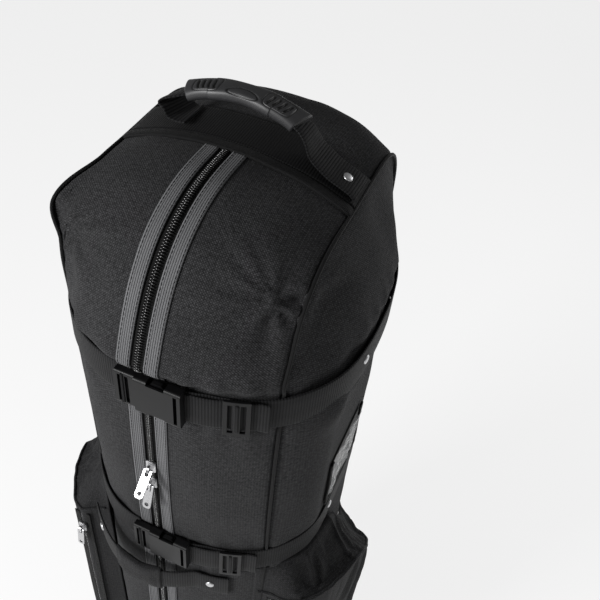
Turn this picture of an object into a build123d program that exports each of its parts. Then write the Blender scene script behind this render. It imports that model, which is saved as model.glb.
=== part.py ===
from build123d import *
import os
from math import cos, radians, sin, sqrt

# A standing golf travel case.  +Z is up, the zipped front faces -Y, and x = 0 is the zip.
# The origin is on the floor, under the middle of the case.

# ---------------------------------------------------------------- driving dimensions (mm)
WIDTH = 320.0
DEPTH = 340.0
PLAN_RADIUS = 110.0          # rounded upright corners of the bag
WALL = 5.0                   # polyester with its foam backing
SKIN_GAP = 0.2               # between one layer and the next
SEAM_X = 122.0               # seam between the belt of panels and the side panels
HOOD_TOP = 1262.0            # front edge of the hood's top, before its corner is rounded
HOOD_TOP_REAR = 1276.0
HOOD_CROWN = 1277.0
SHOULDER_RADIUS = 120.0      # front shoulder of the hood
NAPE_RADIUS = 80.0           # rear corner of the hood
SEAM_TOP = 1240.0            # height of the side seams on the hood's top

BASE_TOP = 150.0             # rim of the moulded base
BASE_BOTTOM = 5.0
BASE_WALL = 4.0

WEBBING = 40.0
WEBBING_THICK = 2.4
STRAP_TOPS = (1119.0, 853.0, 290.0)

ZIP_COIL_HALF = 5.0
ZIP_TAPE_EDGE = 17.5
UPPER_SLIDER_Z = 975.0
LOWER_SLIDER_Z = 947.0

BAND_FRONT = -6.0            # webbing band across the hood's top
BAND_REAR = 40.0
BINDING_FRONT = -18.0
HANDLE_Y = 17.0              # middle line of the top handle

POCKET_BOTTOM = 330.0
POCKET_TOP = 806.0
POCKET_OUT = 214.0           # outer face of the side pockets
POCKET_WALL = 3.0

WHEEL_X = 92.0
WHEEL_Y = 164.0
WHEEL_RADIUS = 38.0
WHEEL_WIDTH = 24.0
WHEEL_Z = WHEEL_RADIUS + 1.0
AXLE_RADIUS = 4.0
AXLE_CLEARANCE = 0.05

FRONT = -DEPTH / 2
REAR = DEPTH / 2
SIDE = WIDTH / 2
FAR = 1500.0

nodes = {}


# ---------------------------------------------------------------- helpers
def block(x0, x1, y0, y1, z0, z1):
    """A box between two corners."""
    return Pos((x0 + x1) / 2, (y0 + y1) / 2, (z0 + z1) / 2) * Box(x1 - x0, y1 - y0, z1 - z0)


def rod(radius, start, end):
    """A round bar between two points that differ along one axis only."""
    a = Vector(*start)
    b = Vector(*end)
    return Plane(origin=a, z_dir=b - a) * Cylinder(
        radius, (b - a).length, align=(Align.CENTER, Align.CENTER, Align.MIN))


def mirrored(shape):
    """The same piece on the other side of x = 0."""
    return mirror(shape, about=Plane.YZ)


def plan_face(outset):
    """The bag's rounded rectangle from above, grown by outset."""
    return RectangleRounded(WIDTH + 2 * outset, DEPTH + 2 * outset, PLAN_RADIUS + outset)


def column(outset, z0, z1):
    """The bag's straight trunk between two heights."""
    return Pos(0, 0, z0) * extrude(plan_face(outset), z1 - z0)


def side_view(outset):
    """The bag as seen from the side: upright walls, round shoulder and nape."""
    front = FRONT - outset
    rear = REAR + outset
    outline = Polyline((front, 0), (front, HOOD_TOP + outset), (rear, HOOD_TOP_REAR + outset),
                       (rear, 0), close=True)
    face = Plane.YZ * make_face(outline)
    shoulder = face.vertices().sort_by(Axis.Y)[:2].sort_by(Axis.Z)[-1]
    face = fillet(shoulder, SHOULDER_RADIUS + outset)
    nape = face.vertices().sort_by(Axis.Y)[-2:].sort_by(Axis.Z)[-1]
    return fillet(nape, NAPE_RADIUS + outset)


def front_view(outset):
    """The bag as seen from the front: the hood tapers above the top strap to its side seams."""
    side = SIDE + outset
    chest = 1125.0
    neck = (150.0 + outset, 1180.0)
    seam = (SEAM_X + outset, SEAM_TOP + outset)
    right = Polyline((side, 0), (side, chest), neck, seam)
    left = Polyline((-seam[0], seam[1]), (-neck[0], neck[1]), (-side, chest), (-side, 0))
    top = ThreePointArc(seam, (0, HOOD_CROWN + outset), (-seam[0], seam[1]))
    foot = Line((-side, 0), (side, 0))
    return Plane.XZ * make_face([right, top, left, foot])


def bag(outset):
    """The whole bag as one closed solid: the overlap of its three outlines."""
    along_x = extrude(side_view(outset), SIDE + 60, both=True)
    along_y = extrude(front_view(outset), DEPTH / 2 + 60, both=True)
    return along_x & along_y & column(outset, 0, FAR)


def layer(inner, outer, region):
    """A skin between two offsets of the bag, kept inside region."""
    return (bag(outer) - bag(inner)) & region


def trunk_layer(inner, outer, z0, z1):
    """A ring of webbing round the straight trunk."""
    return column(outer, z0, z1) - column(inner, z0 - 1, z1 + 1)


# ---------------------------------------------------------------- fabric body
def make_body():
    """Cut the hollow shell into the panels that are sewn together."""
    shell = bag(0) - bag(-WALL)
    upper = block(-SIDE - 9, SIDE + 9, FRONT - 9, REAR + 9, BASE_TOP, FAR)
    shell = shell & upper
    front = block(-FAR, FAR, FRONT - 9, BINDING_FRONT, 0, FAR)
    back = block(-SEAM_X, SEAM_X, BINDING_FRONT, REAR + 9, 0, FAR)
    belt = shell & front

    def strip(x0, x1):
        return belt & block(x0, x1, FRONT - 9, REAR, 0, FAR)

    nodes["front_panel_right"] = strip(ZIP_TAPE_EDGE, SEAM_X)
    nodes["front_panel_left"] = strip(-SEAM_X, -ZIP_TAPE_EDGE)
    nodes["zip_tape_right"] = strip(ZIP_COIL_HALF, ZIP_TAPE_EDGE)
    nodes["zip_tape_left"] = strip(-ZIP_TAPE_EDGE, -ZIP_COIL_HALF)
    nodes["zip_coils"] = strip(-ZIP_COIL_HALF, ZIP_COIL_HALF)
    nodes["back_panel"] = shell & back
    nodes["side_panel_right"] = shell & block(SEAM_X, SIDE + 9, FRONT - 9, REAR + 9, 0, FAR)
    nodes["side_panel_left"] = shell & block(-SIDE - 9, -SEAM_X, FRONT - 9, REAR + 9, 0, FAR)


def make_hood_foam():
    """The club-head padding that lines the top of the hood."""
    room = block(-SIDE, SIDE, FRONT, REAR, 1150.0, FAR)
    nodes["hood_foam_pad"] = layer(-WALL - 8.0, -WALL - SKIN_GAP, room)


def make_top_band():
    """The webbing and the binding strip sewn across the top of the hood."""
    band = block(-SEAM_X, SEAM_X, BAND_FRONT, BAND_REAR, 1200.0, FAR)
    binding = block(-SEAM_X, SEAM_X, BINDING_FRONT, BAND_FRONT - SKIN_GAP, 1200.0, FAR)
    nodes["top_band"] = layer(SKIN_GAP, SKIN_GAP + WEBBING_THICK, band)
    nodes["top_binding"] = layer(SKIN_GAP, SKIN_GAP + 3.2, binding)


# ---------------------------------------------------------------- top handle
GRIP_HALF = 57.0
GRIP_END_UNDER = 1281.0
GRIP_MID_UNDER = 1294.0
GRIP_THICK = 15.0
GRIP_WIDTH = 27.0
CORE_HALF = 63.0
HANDLE_STRAP_WIDTH = 38.0
HANDLE_STRAP_INNER = 66.0
HANDLE_STRAP_OUTER = 118.0
HANDLE_RIVET_X = 106.0


def arch(half, z_end, z_mid, thick):
    """An arched bar seen from the front."""
    lower = ThreePointArc((-half, z_end), (0, z_mid), (half, z_end))
    upper = ThreePointArc((half, z_end + thick), (0, z_mid + thick), (-half, z_end + thick))
    right = Line((half, z_end), (half, z_end + thick))
    left = Line((-half, z_end + thick), (-half, z_end))
    return Plane.XZ * make_face([lower, right, upper, left])


def make_top_handle():
    """A moulded grip on webbing whose two ends are riveted down on the top band."""
    bar = extrude(arch(GRIP_HALF, GRIP_END_UNDER, GRIP_MID_UNDER, GRIP_THICK), GRIP_WIDTH / 2,
                  both=True)
    bar = Pos(0, HANDLE_Y, 0) * bar
    bar = fillet(bar.edges().filter_by(GeomType.CIRCLE), 5.5)
    middle = (GRIP_THICK - WEBBING_THICK) / 2
    core_rise = (CORE_HALF / GRIP_HALF) ** 2 * (GRIP_MID_UNDER - GRIP_END_UNDER)
    core = extrude(arch(CORE_HALF, GRIP_MID_UNDER + middle - core_rise, GRIP_MID_UNDER + middle,
                        WEBBING_THICK), 11.0, both=True)
    core = Pos(0, HANDLE_Y, 0) * core
    for side in (-1, 1):
        for step in range(4):
            x = side * (24.0 + 6.0 * step)
            bar = bar - rod(1.1, (x, HANDLE_Y - 10.0, GRIP_MID_UNDER + 8.0 - 0.004 * x * x + 6.0),
                            (x, HANDLE_Y + 10.0, GRIP_MID_UNDER + 8.0 - 0.004 * x * x + 6.0))
    nodes["top_handle_grip"] = bar - core
    nodes["top_handle_core"] = core

    inner_z = GRIP_END_UNDER + middle - 2.0
    outer_z = SEAM_TOP + 9.0
    seat_z = SEAM_TOP + 17.5
    top = Polyline((HANDLE_STRAP_INNER, inner_z + WEBBING_THICK), (HANDLE_RIVET_X - 10, seat_z + 2.4),
                   (HANDLE_STRAP_OUTER, outer_z + 1.4))
    low = Polyline((HANDLE_STRAP_OUTER, outer_z - 1.0), (HANDLE_RIVET_X - 10, seat_z),
                   (HANDLE_STRAP_INNER, inner_z))
    ends = [Line(top @ 1, low @ 0), Line(low @ 1, top @ 0)]
    strap = extrude(Plane.XZ * make_face([top, low] + ends), HANDLE_STRAP_WIDTH / 2, both=True)
    strap = Pos(0, HANDLE_Y, 0) * strap
    strap = strap - bag(SKIN_GAP + WEBBING_THICK + SKIN_GAP)
    nodes["top_handle_straps"] = Compound([strap.solids()[0], mirrored(strap).solids()[0]])


# ---------------------------------------------------------------- zip sliders
SLIDER_WIDE = 11.0
SLIDER_TALL = 17.0
BAIL_OUT = 8.6               # the bail's hole, out from the front wall
PULL_LENGTH = 30.0
PULL_WIDTH = 9.5
PULL_THICK = 1.8


def make_slider(z):
    """A zip slider that stands on the coils, with a bail for its pull."""
    plate = block(-SLIDER_WIDE / 2, SLIDER_WIDE / 2, FRONT - 4.4, FRONT - 2.0,
                  z - SLIDER_TALL / 2, z + SLIDER_TALL / 2)
    plate = fillet(plate.edges().filter_by(Axis.Y), 3.0)
    post = block(-2.0, 2.0, FRONT - 2.2, FRONT - SKIN_GAP, z - 5.0, z + 5.0)
    bail = block(-1.6, 1.6, FRONT - BAIL_OUT - 2.6, FRONT - 4.2, z - 5.0, z + 5.0)
    bail = fillet(bail.edges().filter_by(Axis.X).sort_by(Axis.Y)[:2], 2.4)
    hole = rod(1.45, (-9, FRONT - BAIL_OUT, z), (9, FRONT - BAIL_OUT, z))
    return plate + post + bail - hole


def make_pull(z, lift):
    """A metal pull: a pin through the bail, two cheeks and a flat tab with a hole."""
    y = FRONT - BAIL_OUT
    half = PULL_WIDTH / 2
    pin = rod(1.2, (-half, y, z), (half, y, z))
    cheeks = Compound([block(s * 2.2 if s > 0 else -half, half if s > 0 else -2.2,
                             y - 1.2, y + 1.2, z - 8.0, z) for s in (-1, 1)])
    tab = block(-half, half, y - PULL_THICK / 2, y + PULL_THICK / 2, z - PULL_LENGTH, z - 7.0)
    tab = fillet(tab.edges().filter_by(Axis.Y).sort_by(Axis.Z)[:2], 3.5)
    eye = rod(2.4, (0, y - 9, z - PULL_LENGTH + 5.0), (0, y + 9, z - PULL_LENGTH + 5.0))
    pull = tab + cheeks.solids()[0] + cheeks.solids()[1] + pin - eye
    return pull.rotate(Axis((0, y, z), (1, 0, 0)), -lift)


def make_zip_hardware():
    """The two sliders meet in the middle of the front zip."""
    nodes["zip_slider_upper"] = make_slider(UPPER_SLIDER_Z)
    nodes["zip_slider_lower"] = make_slider(LOWER_SLIDER_Z)
    nodes["zip_pull_upper"] = make_pull(UPPER_SLIDER_Z, 50.0)
    nodes["zip_pull_lower"] = make_pull(LOWER_SLIDER_Z, 20.0)


# ---------------------------------------------------------------- compression straps
BUCKLE_LEFT = -25.0
BUCKLE_SPLIT = -4.0
BUCKLE_RIGHT = 43.0
BUCKLE_TALL = 46.0
BUCKLE_BACK = FRONT - WEBBING_THICK - 2 * SKIN_GAP
BUCKLE_THICK = 12.0
LATCH_HINGE = 2.0            # x of each latch arm's root
LATCH_TIP = 30.0
GLIDE_LEFT = 76.0
GLIDE_RIGHT = 98.0
TAIL_END = 113.0


def make_female(z):
    """The socket half of a side-release buckle, hollow, with a window in each long edge."""
    half = BUCKLE_TALL / 2
    near = BUCKLE_BACK - BUCKLE_THICK
    far = BUCKLE_BACK
    body = block(BUCKLE_SPLIT, BUCKLE_RIGHT, near, far, z - half, z + half)
    body = fillet(body.edges().filter_by(Axis.X), 3.0)
    cavity = block(BUCKLE_SPLIT - 1, LATCH_TIP + 3.0, near + 2.2, far - 2.2, z - half + 2.4, z + half - 2.4)
    slot = block(36.0, 39.5, near - 1, far + 1, z - half + 4, z + half - 4)
    body = body - cavity - slot
    for edge in (z - half, z + half):
        body = body - block(9.0, 27.0, near - 1, far + 1, edge - 3.5, edge + 3.5)
    return body


def make_male(z):
    """The plug half: a ladder-lock frame with two bars and a guide tongue."""
    half = BUCKLE_TALL / 2 - 1.0
    frame = block(BUCKLE_LEFT, BUCKLE_SPLIT - 0.6, BUCKLE_BACK - 9.5, BUCKLE_BACK - 1.0,
                  z - half, z + half)
    frame = fillet(frame.edges().filter_by(Axis.X), 2.5)
    for x in (-21.5, -14.0):
        frame = frame - block(x, x + 3.6, BUCKLE_BACK - 12, BUCKLE_BACK + 1, z - half + 4, z + half - 4)
    tongue = block(BUCKLE_SPLIT - 1.0, 28.0, BUCKLE_BACK - 8.0, BUCKLE_BACK - 4.0, z - 3.0, z + 3.0)
    neck = block(BUCKLE_SPLIT - 1.0, LATCH_HINGE - 1.0, BUCKLE_BACK - 8.0, BUCKLE_BACK - 4.0,
                 z - 15.0, z + 15.0)
    return frame + tongue + neck


def make_latch(z, side):
    """One sprung arm of the plug, with the pad that is pinched in the socket's window."""
    near = BUCKLE_BACK - 8.0
    far = BUCKLE_BACK - 4.0
    arm = block(LATCH_HINGE, LATCH_TIP, near, far, z + side * 13.0 - 1.8, z + side * 13.0 + 1.8)
    pad_low = z + side * 14.0
    pad_high = z + side * (BUCKLE_TALL / 2 - 1.2)
    pad = block(10.5, 25.5, near, far, min(pad_low, pad_high), max(pad_low, pad_high))
    outer = pad.edges().filter_by(Axis.Y)
    outer = outer.sort_by(Axis.Z)[-2:] if side > 0 else outer.sort_by(Axis.Z)[:2]
    return arm + chamfer(outer, 3.0)


def make_glide(z):
    """A tri-glide that holds the folded tail flat: a curved frame with two slots."""
    half = WEBBING / 2 + 4.0
    inner = 3 * SKIN_GAP + 2 * WEBBING_THICK
    ring = trunk_layer(inner, inner + 3.0, z - half, z + half)
    ring = ring & block(GLIDE_LEFT, GLIDE_RIGHT, FRONT - 20, 0, z - half, z + half)
    for x in (GLIDE_LEFT + 3.4, GLIDE_RIGHT - 7.4):
        ring = ring - block(x, x + 4.0, FRONT - 20, 0, z - half + 5, z + half - 5)
    return ring


def make_straps():
    """Three webbing straps pull the trunk in, each with its buckle a little right of the zip."""
    for number, top in enumerate(STRAP_TOPS, start=1):
        low = top - WEBBING
        z = top - WEBBING / 2
        ring = trunk_layer(SKIN_GAP, SKIN_GAP + WEBBING_THICK, low, top)
        ring = ring - block(BUCKLE_LEFT + 6, BUCKLE_RIGHT - 8, FRONT - 9, 0, low - 1, top + 1)
        tail = trunk_layer(2 * SKIN_GAP + WEBBING_THICK, 2 * SKIN_GAP + 2 * WEBBING_THICK, low, top)
        tail = tail & block(BUCKLE_RIGHT + 3, TAIL_END, FRONT - 20, 0, low, top)
        bridge = trunk_layer(SKIN_GAP, 2 * SKIN_GAP + 2 * WEBBING_THICK, low, top)
        bridge = bridge & block(BUCKLE_RIGHT + 1, BUCKLE_RIGHT + 4, FRONT - 20, 0, low, top)
        nodes[f"strap_{number}_webbing"] = ring + tail + bridge
        nodes[f"buckle_{number}_female"] = make_female(z)
        nodes[f"buckle_{number}_male"] = make_male(z)
        nodes[f"buckle_{number}_latch_upper"] = make_latch(z, 1)
        nodes[f"buckle_{number}_latch_lower"] = make_latch(z, -1)
        nodes[f"strap_{number}_glide"] = make_glide(z)


# ---------------------------------------------------------------- front carry handle
CARRY_Z = 772.0
CARRY_MIDDLE = -12.0         # the loop stands a little left of the zip
CARRY_OUT = 22.0             # how far the loop stands off the front wall
CARRY_ARC_HALF = 66.0
CARRY_MOVING_HALF = 40.0
CARRY_RISER_HALF = 42.0      # where the fixed webbing takes over from the moving loop
CARRY_FOOT_HALF = 62.0       # where it meets the front wall
CARRY_ENDS = (-104.0, 88.0)
CARRY_RIVETS = (-86.0, 66.0)
WRAP_MIDDLE = -19.0
WRAP_HALF = 30.0


def front_at(x, outset=0.0):
    """Depth of the trunk's front at a distance x from the zip."""
    over = abs(x) - (SIDE - PLAN_RADIUS)
    corner = PLAN_RADIUS + outset
    if over <= 0:
        return FRONT - outset
    return FRONT + PLAN_RADIUS - sqrt(corner ** 2 - over ** 2)


def carry_arc(inner, outer, tall):
    """The standing loop of the carry handle, as an arched band in plan."""
    foot = FRONT - 1.0
    bulge = FRONT - CARRY_OUT
    left = CARRY_MIDDLE - CARRY_ARC_HALF
    right = CARRY_MIDDLE + CARRY_ARC_HALF
    near = ThreePointArc((left, foot - inner), (CARRY_MIDDLE, bulge - inner), (right, foot - inner))
    far = ThreePointArc((right, foot - outer), (CARRY_MIDDLE, bulge - outer), (left, foot - outer))
    ends = [Line(near @ 1, far @ 0), Line(far @ 1, near @ 0)]
    face = make_face([near, far] + ends)
    return Pos(0, 0, CARRY_Z - tall / 2) * extrude(face, tall)


def carry_end(side, loop):
    """One fixed end of the carry handle: a riser from the loop down to webbing sewn on the front."""
    low = CARRY_Z - HANDLE_STRAP_WIDTH / 2
    high = CARRY_Z + HANDLE_STRAP_WIDTH / 2
    start = CARRY_MIDDLE + side * CARRY_RISER_HALF
    foot = CARRY_MIDDLE + side * CARRY_FOOT_HALF
    cut = loop & block(start - 0.5, start + 0.5, FRONT - 60, FRONT + 3, low, high)
    start_y = cut.bounding_box().max.Y
    foot_y = front_at(foot, SKIN_GAP)
    riser = make_face(Polyline((start, start_y), (foot, foot_y), (foot, foot_y - WEBBING_THICK),
                               (start, start_y - WEBBING_THICK), close=True))
    riser = Pos(0, 0, low) * extrude(riser, high - low)
    riser = riser - column(SKIN_GAP, low - 1, high + 1)
    end = CARRY_ENDS[1] if side > 0 else CARRY_ENDS[0]
    flat = trunk_layer(SKIN_GAP, SKIN_GAP + WEBBING_THICK, low, high)
    flat = flat & block(min(foot - side * 2, end), max(foot - side * 2, end), FRONT - 20, 0, low, high)
    return (flat + riser).solids()[0]


def make_carry_handle():
    """A webbing loop across the front, with a soft wrap round the middle of it."""
    low = CARRY_Z - WEBBING
    high = CARRY_Z + WEBBING
    loop = carry_arc(0.0, WEBBING_THICK, HANDLE_STRAP_WIDTH)
    middle = block(CARRY_MIDDLE - CARRY_MOVING_HALF, CARRY_MIDDLE + CARRY_MOVING_HALF,
                   FRONT - 60, FRONT, low, high)
    nodes["carry_handle_webbing"] = loop & middle
    wrap = carry_arc(-2.4, WEBBING_THICK + 2.4, HANDLE_STRAP_WIDTH + 6.0)
    wrap = wrap & block(WRAP_MIDDLE - WRAP_HALF, WRAP_MIDDLE + WRAP_HALF, FRONT - 60, FRONT, low, high)
    nodes["carry_handle_wrap"] = wrap - carry_arc(-SKIN_GAP, WEBBING_THICK + SKIN_GAP,
                                                  HANDLE_STRAP_WIDTH + 2 * SKIN_GAP)
    nodes["carry_handle_ends"] = Compound([carry_end(-1, loop), carry_end(1, loop)])


# ---------------------------------------------------------------- name card window
CARD_Y0 = -72.0
CARD_Y1 = 28.0
CARD_Z0 = 866.0
CARD_Z1 = 946.0
CARD_RIM = 7.0


def make_card_window():
    """A clear window in a bound frame on the right side, open at the top, with a loose card."""
    face = SIDE + SKIN_GAP
    frame = block(face, face + 3.0, CARD_Y0, CARD_Y1, CARD_Z0, CARD_Z1)
    frame = frame - block(face - 1, face + 4, CARD_Y0 + CARD_RIM, CARD_Y1 - CARD_RIM,
                          CARD_Z0 + CARD_RIM, CARD_Z1 - CARD_RIM)
    slot = block(face - 1, face + 1.5, CARD_Y0 + CARD_RIM, CARD_Y1 - CARD_RIM,
                 CARD_Z0 + CARD_RIM, CARD_Z1 + 1)
    nodes["card_frame"] = frame - slot
    window = block(face + 1.6, face + 2.4, CARD_Y0 + CARD_RIM, CARD_Y1 - CARD_RIM,
                   CARD_Z0 + CARD_RIM, CARD_Z1 - CARD_RIM)
    nodes["card_window"] = window
    nodes["name_card"] = block(face + 0.3, face + 1.1, CARD_Y0 + CARD_RIM + 1.5,
                               CARD_Y1 - CARD_RIM - 1.5, CARD_Z0 + CARD_RIM + 0.5, CARD_Z1 - 2.0)


# ---------------------------------------------------------------- side pockets
POCKET_FRONT = -142.0
POCKET_REAR = 78.0
POCKET_TOP_REAR = 640.0      # the pocket's top falls away behind POCKET_BEND
POCKET_BEND = -50.0
POCKET_GUSSET = 58.0         # how far its top and bottom slope on their way out
POCKET_ZIP_X = 134.0
POCKET_ZIP_Z0 = 372.0
POCKET_ZIP_Z1 = 742.0
POCKET_SLIDER_Z = 712.0


def pocket_outline(inset):
    """One pocket from above: it starts at the front seam and swells out along the side."""
    points = [(112.0, POCKET_FRONT + inset), (170.0, POCKET_FRONT + inset),
              (POCKET_OUT - inset, -78.0), (POCKET_OUT - inset, 40.0),
              (184.0, POCKET_REAR - inset), (112.0, POCKET_REAR - inset)]
    face = make_face(Polyline(*points, close=True))
    corners = face.vertices().filter_by_position(Axis.X, 150, 300)
    return fillet(corners, 22.0)


def pocket_block(inset, stand_off):
    """A pocket with sloping top and bottom gussets, clear of the bag by stand_off."""
    z0 = POCKET_BOTTOM + inset
    z1 = POCKET_TOP - inset
    body = Pos(0, 0, z0) * extrude(pocket_outline(inset), z1 - z0)
    drop = POCKET_GUSSET
    slope = Plane.XZ * make_face(Polyline(
        (100.0, z0), (SIDE, z0), (POCKET_OUT + 2, z0 + drop), (POCKET_OUT + 2, z1 - drop),
        (SIDE, z1), (100.0, z1), close=True))
    body = body & extrude(slope, DEPTH / 2 + 20, both=True)
    fall = Plane.YZ * make_face(Polyline(
        (FRONT, z0), (FRONT, z1), (POCKET_BEND, z1), (POCKET_REAR, POCKET_TOP_REAR - inset),
        (POCKET_REAR, z0), close=True))
    body = body & extrude(fall, POCKET_OUT + 20, both=True)
    return body - column(stand_off, z0 - 5, z1 + 5)


def make_pockets():
    """Two zipped side pockets, each a hollow fabric box on the side panel."""
    shell = pocket_block(0.0, SKIN_GAP) - pocket_block(POCKET_WALL, SKIN_GAP + POCKET_WALL)
    shell = shell.solids().sort_by(SortBy.VOLUME)[-1]
    zip_strip = block(POCKET_ZIP_X - 9, POCKET_ZIP_X + 9, POCKET_FRONT - 1.8, POCKET_FRONT - SKIN_GAP,
                      POCKET_ZIP_Z0, POCKET_ZIP_Z1)
    slider = Pos(POCKET_ZIP_X, POCKET_FRONT - 1.8 - FRONT, 0) * make_slider(POCKET_SLIDER_Z)
    pull = Pos(POCKET_ZIP_X, POCKET_FRONT - 1.8 - FRONT, 0) * make_pull(POCKET_SLIDER_Z, 8.0)
    for side, turn in (("right", lambda s: s), ("left", mirrored)):
        nodes[f"pocket_{side}"] = turn(shell)
        nodes[f"pocket_slider_{side}"] = turn(slider)
        nodes[f"pocket_pull_{side}"] = turn(pull)
    nodes["pocket_zips"] = Compound([zip_strip.solids()[0], mirrored(zip_strip).solids()[0]])


# ---------------------------------------------------------------- rivets
RIVET_RADIUS = 5.0
RIVET_HEAD = 1.8
SHANK_RADIUS = 2.0


def rivet(point, outward, grip):
    """A round rivet: domed head outside, shank through the layers, flat burr inside."""
    plane = Plane(origin=point, z_dir=outward)
    up = (Align.CENTER, Align.CENTER, Align.MIN)
    down = (Align.CENTER, Align.CENTER, Align.MAX)
    head = Cylinder(RIVET_RADIUS, RIVET_HEAD, align=up)
    head = fillet(head.edges().sort_by(Axis.Z)[-1], 1.2)
    shank = Cylinder(SHANK_RADIUS, grip, align=down)
    burr = Pos(0, 0, -grip) * Cylinder(RIVET_RADIUS - 1.0, 0.8, align=down)
    return plane * (head + shank + burr)


def make_rivets():
    """Rivets through the straps on both sides, and through both handles' ends."""
    grip = WALL + WEBBING_THICK + 2 * SKIN_GAP
    strap_side = []
    for top in STRAP_TOPS:
        point = (SIDE + grip - WALL, -48.0, top - WEBBING / 2)
        strap_side.append(rivet(point, (1, 0, 0), grip + SKIN_GAP))
    strap_rivets = strap_side + [mirrored(r) for r in strap_side]

    handle_rivets = []
    for x in CARRY_RIVETS:
        out = PLAN_RADIUS + grip - WALL
        centre_x = (SIDE - PLAN_RADIUS) * (1 if x > 0 else -1)
        lean = (x - centre_x) / out
        normal = (lean, -sqrt(1 - lean ** 2), 0)
        point = (x, front_at(x, grip - WALL), CARRY_Z)
        handle_rivets.append(rivet(point, normal, grip + SKIN_GAP))

    cutters = strap_rivets + handle_rivets
    for name in ("side_panel_right", "side_panel_left", "front_panel_right", "front_panel_left",
                 "strap_1_webbing", "strap_2_webbing", "strap_3_webbing", "carry_handle_ends"):
        shape = nodes[name]
        for cutter in cutters:
            if box_gap(shape, cutter) < 0:
                shape = shape - cutter
        nodes[name] = shape
    nodes["strap_rivets"] = Compound([r.solids()[0] for r in strap_rivets])

    point = (HANDLE_RIVET_X, HANDLE_Y, SEAM_TOP + 17.6)
    head = rivet(point, (0.43, 0, 0.9), 1.0) - nodes["top_handle_straps"]
    head = head.solids().sort_by(SortBy.VOLUME)[-1]
    loose = [r.solids()[0] for r in handle_rivets] + [head, mirrored(head).solids()[0]]
    nodes["handle_rivets"] = Compound(loose)


def box_gap(a, b):
    """Distance between two bounding boxes along the axis where they are furthest apart."""
    box_a = a.bounding_box()
    box_b = b.bounding_box()
    gaps = []
    for axis in ("X", "Y", "Z"):
        gaps.append(getattr(box_a.min, axis) - getattr(box_b.max, axis))
        gaps.append(getattr(box_b.min, axis) - getattr(box_a.max, axis))
    return max(gaps)


# ---------------------------------------------------------------- moulded base and wheels
CHEEK_THICK = 5.0
CHEEK_GAP = WHEEL_WIDTH / 2 + 1.5
WELL_RADIUS = WHEEL_RADIUS + 5.0


def make_base():
    """The moulded tub at the foot, with a well and two cheeks for each wheel."""
    tub = column(1.0, BASE_BOTTOM, BASE_TOP - SKIN_GAP)
    tub = fillet(tub.edges().group_by(Axis.Z)[0], 8.0)
    inside = column(1.0 - BASE_WALL, BASE_BOTTOM + BASE_WALL, BASE_TOP + 1)
    tub = tub - inside
    for side in (-1, 1):
        x = side * WHEEL_X
        reach = CHEEK_GAP + CHEEK_THICK
        housing = block(x - reach, x + reach, WHEEL_Y - WELL_RADIUS - BASE_WALL, WHEEL_Y + 12.0,
                        BASE_BOTTOM + 3.0, WHEEL_Z + WELL_RADIUS + BASE_WALL)
        housing = fillet(housing.edges().filter_by(Axis.X).sort_by(Axis.Y)[-2:], 11.0)
        well = rod(WELL_RADIUS, (x - CHEEK_GAP, WHEEL_Y, WHEEL_Z), (x + CHEEK_GAP, WHEEL_Y, WHEEL_Z))
        mouth = block(x - CHEEK_GAP, x + CHEEK_GAP, WHEEL_Y - WELL_RADIUS, WHEEL_Y + 60, 0, WHEEL_Z)
        rear_mouth = block(x - CHEEK_GAP, x + CHEEK_GAP, WHEEL_Y, WHEEL_Y + 60, 0,
                           WHEEL_Z + WELL_RADIUS)
        bore = rod(AXLE_RADIUS, (x - reach - 1, WHEEL_Y, WHEEL_Z), (x + reach + 1, WHEEL_Y, WHEEL_Z))
        tub = tub + housing - well - mouth - rear_mouth - bore
    nodes["base_shell"] = tub

    floor = BASE_BOTTOM + BASE_WALL
    board = column(-BASE_WALL - 0.5, floor + SKIN_GAP, floor + 3.2)
    for side in (-1, 1):
        x = side * WHEEL_X
        reach = CHEEK_GAP + CHEEK_THICK + 1
        front_edge = WHEEL_Y - WELL_RADIUS - BASE_WALL - 1
        board = board - block(x - reach, x + reach, front_edge, REAR + 20, 0, BASE_TOP)
    nodes["base_board"] = board

    feet = []
    for x, y in ((-100.0, -105.0), (100.0, -105.0), (-45.0, 120.0), (45.0, 120.0)):
        foot = Pos(x, y, BASE_BOTTOM / 2) * Cylinder(15.0, BASE_BOTTOM)
        foot = chamfer(foot.edges().group_by(Axis.Z)[0], 1.2)
        feet.append(foot.solids()[0])
    nodes["base_feet"] = Compound(feet)

    rails = []
    for x in (-34.0, 34.0):
        rail = block(x - 9, x + 9, REAR + 1.4, REAR + 10.0, 60.0, 640.0)
        rail = chamfer(rail.edges().filter_by(Axis.Z).sort_by(Axis.Y)[-2:], 3.0)
        rails.append(rail)
    window = block(-60, 60, REAR - 2, REAR + SKIN_GAP + WEBBING_THICK + SKIN_GAP,
                   STRAP_TOPS[2] - WEBBING - 2, STRAP_TOPS[2] + 2)
    nodes["skid_rails"] = Compound([(r - window).solids()[0] for r in rails])


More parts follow.
